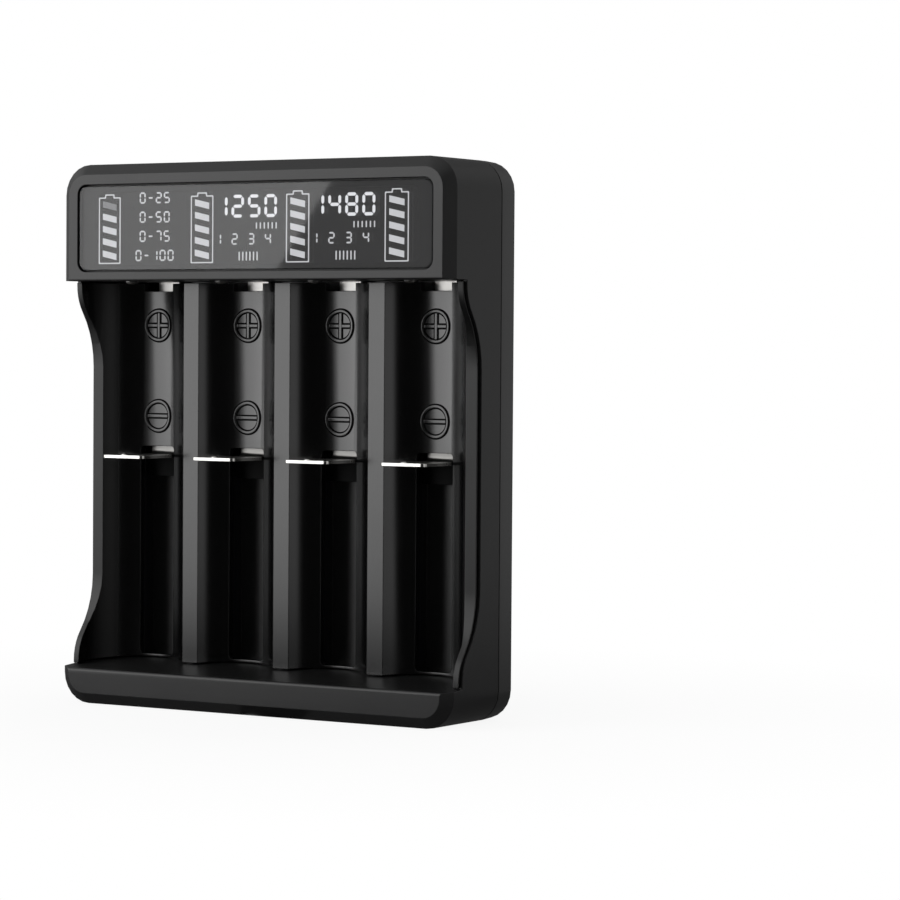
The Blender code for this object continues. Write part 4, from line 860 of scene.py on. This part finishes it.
class CHARGER_OT_marks(bpy.types.Operator):
    """Raise the plus and minus marks on the bays' floors, with a near-black strip around them as painted
    shade at their edges
    """
    bl_idname = "charger.marks"
    bl_label = "Raise the polarity marks"

    def execute(self, context):
        settings = context.scene.charger.marks
        plastic = bpy.data.materials["tray_plastic"]
        # Near-black strip around each mark: painted shade at the marks' edges
        line = plain_solid("mark_edge_painted_shade", (0.001, 0.001, 0.001), 0.8, 0.2 * MM, 0.002 * MM, gloss=0.05)
        start = bay_x(1) + settings.shift
        for name, plus, height in (("plus_marks", True, settings.plus_height),
                                   ("minus_marks", False, settings.minus_height)):
            for part, margin, rise, surface in (("raised", 0, settings.rise, plastic),
                                                ("outline", settings.outline, settings.outline_rise, line)):
                source = mark_mesh(f"{name}_{part}_source", plus, settings, margin, rise)
                marks = row_of(f"{name}_{part}", source, len(BAY_NUMBERS), (start, 0, height),
                               (BAY_PITCH, 0, 0), surface)
                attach(marks, HOUSING)
        return {"FINISHED"}


class CHARGER_OT_contacts(bpy.types.Operator):
    """Finish the upper contacts, the sliding contacts and their carriages"""
    bl_idname = "charger.contacts"
    bl_label = "Finish the contacts"

    def execute(self, context):
        # Painted shade in the nickel: the sliding contacts are bright at the front of the bays and darkened
        # towards the back, in the slots; the upper contacts are darkened most at the front
        nickel = nickel_with_painted_shade("sliding_nickel", (0.55, 0.54, 0.52), (0.17, 0.168, 0.162))
        upper_nickel_with_painted_shade = nickel_with_painted_shade("upper_nickel", (0.3, 0.295, 0.285), (0.5, 0.49, 0.475))
        # Carriage acetal: black plastic, darkened further as painted shade so the carriages stay black in the
        # slots
        acetal = plain_solid("black_acetal_painted_shade", (0.0012, 0.0012, 0.0013), 0.6, 0.3 * MM, 0.004 * MM, gloss=0.08)
        steel = plain_solid("rivet_steel", (0.62, 0.62, 0.63), 0.28, 0.2 * MM, 0.002 * MM, 1.0)
        for number in BAY_NUMBERS:
            slider = f"slider_{number}"
            dress(f"positive_contact_{number}", upper_nickel_with_painted_shade)
            dress(f"negative_terminal_{number}", upper_nickel_with_painted_shade)
            dress(f"negative_contact_{number}", nickel, slider)
            dress(f"slider_carriage_{number}", acetal, slider)
            dress(f"contact_rivet_{number}", steel, slider)
        return {"FINISHED"}


class CHARGER_OT_springs(bpy.types.Operator):
    """Wind the return springs, which stay as they are set; on the charger they stretch as the contacts slide
    """
    bl_idname = "charger.springs"
    bl_label = "Wind the return springs"

    def execute(self, context):
        settings = context.scene.charger.springs
        wire = plain_solid("drawn_wire", (0.55, 0.55, 0.56), 0.3, 0.3 * MM, 0.002 * MM, 1.0)
        tree = coil_graph()
        for number in BAY_NUMBERS:
            low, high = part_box(f"return_spring_{number}")
            length = high.z - low.z
            coil = grown(f"wound_spring_{number}", tree, {
                "Turns": settings.turns, "Radius": (high.x - low.x) / 2 - settings.wire,
                "Wire": settings.wire, "Length": length - 2 * settings.wire, "Finish": wire})
            middle = Vector((bay_x(number), (low.y + high.y) / 2, high.z - settings.wire))
            coil.data.transform(Matrix.Translation(middle))
            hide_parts(f"return_spring_{number}")
            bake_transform(coil)
        return {"FINISHED"}


class CHARGER_OT_electronics(bpy.types.Operator):
    """Finish the circuit board and what it carries"""
    bl_idname = "charger.electronics"
    bl_label = "Finish the electronics"

    def execute(self, context):
        can = plain_solid("drawn_can", (0.72, 0.72, 0.73), 0.32, 0.4 * MM, 0.002 * MM, 1.0, 0.1, (1, 8, 1))
        dress("main_board", circuit_laminate("green_laminate"))
        dress("usb_c_socket", plain_solid("inlet_steel", (0.66, 0.66, 0.67), 0.26, 0.3 * MM, 0.001 * MM,
                                          1.0, 0.05))
        dress("charge_controller", plain_solid("moulded_resin", (0.02, 0.02, 0.021), 0.55, 0.12 * MM,
                                               0.006 * MM))
        dress("power_inductor", plain_solid("sintered_ferrite", (0.06, 0.06, 0.064), 0.7, 0.2 * MM,
                                            0.012 * MM))
        for node in sorted(name for name in NODES if name.startswith("filter_capacitor_")):
            dress(node, can)
        return {"FINISHED"}


class CHARGER_OT_fasteners(bpy.types.Operator):
    """Finish the screws"""
    bl_idname = "charger.fasteners"
    bl_label = "Finish the screws"

    def execute(self, context):
        zinc = plain_solid("zinc_plate", (0.6, 0.6, 0.61), 0.3, 0.25 * MM, 0.002 * MM, 1.0, 0.1)
        for node in sorted(name for name in NODES if "_screw_" in name):
            dress(node, zinc)
        return {"FINISHED"}


def seen_directly(tree):
    """Socket that is 1 for camera, glossy and clear rays."""
    rays = tree.nodes.new("ShaderNodeLightPath")
    seen = rays.outputs["Is Camera Ray"]
    for name in ("Is Glossy Ray", "Is Transmission Ray"):
        larger = tree.nodes.new("ShaderNodeMath")
        larger.operation = "MAXIMUM"
        tree.links.new(seen, larger.inputs[0])
        tree.links.new(rays.outputs[name], larger.inputs[1])
        seen = larger.outputs[0]
    return seen


def glare_ray(point, studio, tilt):
    """Start and direction of the camera's ray after the window's gloss mirrors it at a point."""
    place = Vector((point[0], FRONT_Y, point[1]))
    to_camera = (Vector(studio.camera_place) - place).normalized()
    normal = Vector((math.sin(tilt), -math.cos(tilt), 0))
    return place, 2 * to_camera.dot(normal) * normal - to_camera


def make_softbox(studio, tilt):
    """Tall softbox on the left whose edge the window mirrors as a slanted boundary."""
    bearing = studio.softbox_bearing
    outward = Vector((-math.sin(bearing), -math.cos(bearing), 0))
    edge = []
    for point in (studio.glare_foot, studio.glare_top):
        start, direction = glare_ray(point, studio, tilt)
        reach = (studio.softbox_distance - start.dot(outward)) / direction.dot(outward)
        edge.append(start + direction * reach)
    up = (edge[1] - edge[0]).normalized()
    right = up.cross(outward).normalized()
    axes = Matrix((right, up, outward)).transposed().to_4x4()
    outer_width, height = studio.softbox_size
    for name, start, width, radiance in (
            ("softbox", 0, outer_width, studio.softbox_radiance),
            ("softbox_core", studio.core_offset, studio.core_width, studio.core_radiance)):
        light = bpy.data.lights.new(name, "AREA")
        light.shape = "RECTANGLE"
        light.size, light.size_y = width, height
        light.energy = radiance * math.pi * width * height
        lamp = bpy.data.objects.new(name, light)
        bpy.context.scene.collection.objects.link(lamp)
        lamp.matrix_world = Matrix.Translation(edge[0] - right * (start + width / 2)) @ axes
        lamp.visible_camera = False


def make_walls(studio):
    """Dark and grey walls from the front round the right to the left, their apron, and a ceiling.

    Only reflections show them. Their grey changes smoothly with the bearing, and the apron
    goes from their grey, or the softbox's where there is no wall, to a dark foot, a painted shadow of the
    object on the floor as reflections show it.
    """
    quick, soft, slow = 0.06, 0.1, 0.3
    side_end, rear_start = math.radians(165), math.radians(185)
    stops = [(studio.wall_start, 1.0), (studio.wall_start + quick, studio.wall_front),
             (studio.strip_start - quick, studio.wall_front), (studio.strip_start, studio.wall_strip),
             (studio.strip_end, studio.wall_strip), (studio.strip_end + soft, studio.wall_side),
             (side_end, studio.wall_side), (rear_start, studio.wall_rear),
             (studio.wall_end, studio.wall_rear)]
    open_side = [(studio.wall_end, studio.wall_rear), (studio.wall_end + slow, studio.wall_side),
                 (studio.apron_start, studio.wall_side), (studio.apron_start + soft, studio.apron_light),
                 (studio.wall_start + math.tau - quick, studio.apron_light),
                 (studio.wall_start + math.tau, studio.wall_front)]
    radius, low, high, steps = studio.wall_radius, 0.05 * MM, studio.wall_height, 8
    bm = bmesh.new()
    level = bm.verts.layers.float_color.new("level")

    def corner(bearing, reach, z, grey):
        vert = bm.verts.new((reach * math.sin(bearing), -reach * math.cos(bearing), z))
        vert[level] = (grey, grey, grey, 1)
        return vert

    def screen(ramp, wall):
        columns = []
        for (start, first), (end, second) in zip(ramp, ramp[1:]):
            for step in range(steps + 1):
                share = step / steps
                bearing, grey = start + (end - start) * share, first + (second - first) * share
                # Dark foot of the apron: painted shadow of the object on the floor for reflections
                dark = min(grey, studio.apron_foot)
                edge = [corner(bearing, 0.01, low, dark), corner(bearing, studio.apron_inner, low, dark),
                        corner(bearing, studio.apron_outer, low, grey), corner(bearing, radius, low, grey)]
                columns.append(edge + [corner(bearing, radius, high, grey)] if wall else edge)
        for near, far in zip(columns, columns[1:]):
            for row in range(len(near) - 1):
                if (near[row].co - far[row].co).length > 1e-7:
                    bm.faces.new((near[row], far[row], far[row + 1], near[row + 1]))

    screen(stops, True)
    screen(open_side, False)
    roof, sides = [], 48
    for index in range(sides):
        turn = math.tau * index / sides
        vert = bm.verts.new((radius * math.cos(turn), radius * math.sin(turn), high + 0.001))
        vert[level] = (studio.ceiling, studio.ceiling, studio.ceiling, 1)
        roof.append(vert)
    bm.faces.new(roof)
    surface = bpy.data.materials.new("wall_grey")
    surface.use_nodes = True
    tree = surface.node_tree
    grey = tree.nodes.new("ShaderNodeAttribute")
    grey.attribute_name = "level"
    glow = tree.nodes.new("ShaderNodeEmission")
    tree.links.new(grey.outputs["Color"], glow.inputs["Color"])
    tree.links.new(glow.outputs[0], tree.nodes["Material Output"].inputs["Surface"])
    walls = mesh_piece("studio_walls", bm, surface)
    walls.visible_camera = False
    walls.visible_shadow = False
    walls.visible_diffuse = False
    walls.visible_transmission = False


def make_floor(studio):
    """Pale floor: white to the view, with the object's shadow on it."""
    bm = bmesh.new()
    reach = 12.0
    corners = [(-reach, -reach, 0), (reach, -reach, 0), (reach, reach, 0), (-reach, reach, 0)]
    bm.faces.new([bm.verts.new(corner) for corner in corners])
    surface = bpy.data.materials.new("pale_floor")
    surface.use_nodes = True
    tree = surface.node_tree
    shader = tree.nodes["Principled BSDF"]
    shader.inputs["Base Color"].default_value = (0.86, 0.86, 0.86, 1)
    shader.inputs["Roughness"].default_value = 0.9
    place = tree.nodes.new("ShaderNodeTexCoord")
    away = tree.nodes.new("ShaderNodeVectorMath")
    away.operation = "LENGTH"
    tree.links.new(place.outputs["Object"], away.inputs[0])
    fade = tree.nodes.new("ShaderNodeMapRange")
    fade_start, fade_end = 0.04, 0.16
    for socket, value in (("From Min", fade_start), ("To Min", studio.floor_near), ("From Max", fade_end),
                          ("To Max", 1.0)):
        fade.inputs[socket].default_value = value
    tree.links.new(away.outputs["Value"], fade.inputs["Value"])
    share = tree.nodes.new("ShaderNodeMath")
    share.operation = "MULTIPLY"
    tree.links.new(seen_directly(tree), share.inputs[0])
    tree.links.new(fade.outputs["Result"], share.inputs[1])
    white = tree.nodes.new("ShaderNodeEmission")
    mix = tree.nodes.new("ShaderNodeMixShader")
    tree.links.new(share.outputs[0], mix.inputs["Fac"])
    tree.links.new(shader.outputs[0], mix.inputs[1])
    tree.links.new(white.outputs[0], mix.inputs[2])
    tree.links.new(mix.outputs[0], tree.nodes["Material Output"].inputs["Surface"])
    mesh_piece("floor", bm, surface)


def make_world(studio):
    """White surroundings to the view, and softer light on matt surfaces."""
    world = bpy.data.worlds.new("studio")
    world.use_nodes = True
    bpy.context.scene.world = world
    tree = world.node_tree
    room = tree.nodes["Background"]
    room.inputs["Strength"].default_value = studio.ambient
    room.inputs["Color"].default_value = (1, 1, 1, 1)
    white = tree.nodes.new("ShaderNodeBackground")
    white.inputs["Color"].default_value = (1, 1, 1, 1)
    mix = tree.nodes.new("ShaderNodeMixShader")
    tree.links.new(seen_directly(tree), mix.inputs["Fac"])
    tree.links.new(room.outputs[0], mix.inputs[1])
    tree.links.new(white.outputs[0], mix.inputs[2])
    tree.links.new(mix.outputs[0], tree.nodes["World Output"].inputs["Surface"])


def make_camera(studio):
    """Camera at the place and angles of the settings."""
    yaw, pitch, roll = studio.yaw, studio.pitch, studio.roll
    back = Vector((math.sin(yaw) * math.cos(pitch), -math.cos(yaw) * math.cos(pitch), math.sin(pitch)))
    level = Vector((math.cos(yaw), math.sin(yaw), 0))
    upright = back.cross(level)
    right = level * math.cos(roll) + upright * math.sin(roll)
    up = upright * math.cos(roll) - level * math.sin(roll)
    camera = bpy.data.objects.new("camera", bpy.data.cameras.new("camera"))
    bpy.context.scene.collection.objects.link(camera)
    axes = Matrix((right, up, back)).transposed().to_4x4()
    camera.matrix_world = Matrix.Translation(Vector(studio.camera_place)) @ axes
    camera.data.lens = studio.focal_length
    camera.data.clip_start = 0.01
    camera.data.clip_end = 50.0
    bpy.context.scene.camera = camera


class CHARGER_OT_studio(bpy.types.Operator):
    """Set the floor, the surroundings, the lights and the camera"""
    bl_idname = "charger.studio"
    bl_label = "Set the studio"

    def execute(self, context):
        studio = context.scene.charger.studio
        make_camera(studio)
        make_softbox(studio, context.scene.charger.display.window_tilt)
        make_walls(studio)
        make_floor(studio)
        make_world(studio)
        context.scene.view_settings.view_transform = "Standard"
        return {"FINISHED"}


OPERATORS = (CHARGER_OT_housing, CHARGER_OT_display, CHARGER_OT_marks, CHARGER_OT_contacts,
             CHARGER_OT_springs, CHARGER_OT_electronics, CHARGER_OT_fasteners, CHARGER_OT_studio)


class CHARGER_PT_sidebar(bpy.types.Panel):
    """Lists the steps that finish the charger"""
    bl_idname = "CHARGER_PT_sidebar"
    bl_label = "Battery charger"
    bl_space_type = "VIEW_3D"
    bl_region_type = "UI"
    bl_category = "Charger"

    def draw(self, context):
        for operator in OPERATORS:
            self.layout.operator(operator.bl_idname)


CLASSES = (PlasticSettings, DisplaySettings, MarkSettings, SpringSettings, StudioSettings, ChargerSettings,
           *OPERATORS, CHARGER_PT_sidebar)


def register():
    for item in CLASSES:
        bpy.utils.register_class(item)
    bpy.types.Scene.charger = PointerProperty(type=ChargerSettings)


def unregister():
    del bpy.types.Scene.charger
    for item in reversed(CLASSES):
        bpy.utils.unregister_class(item)


def main():
    register()
    bpy.ops.charger.housing()
    bpy.ops.charger.display()
    bpy.ops.charger.marks()
    bpy.ops.charger.contacts()
    bpy.ops.charger.springs()
    bpy.ops.charger.electronics()
    bpy.ops.charger.fasteners()
    bpy.ops.charger.studio()


if __name__ == "__main__":
    main()
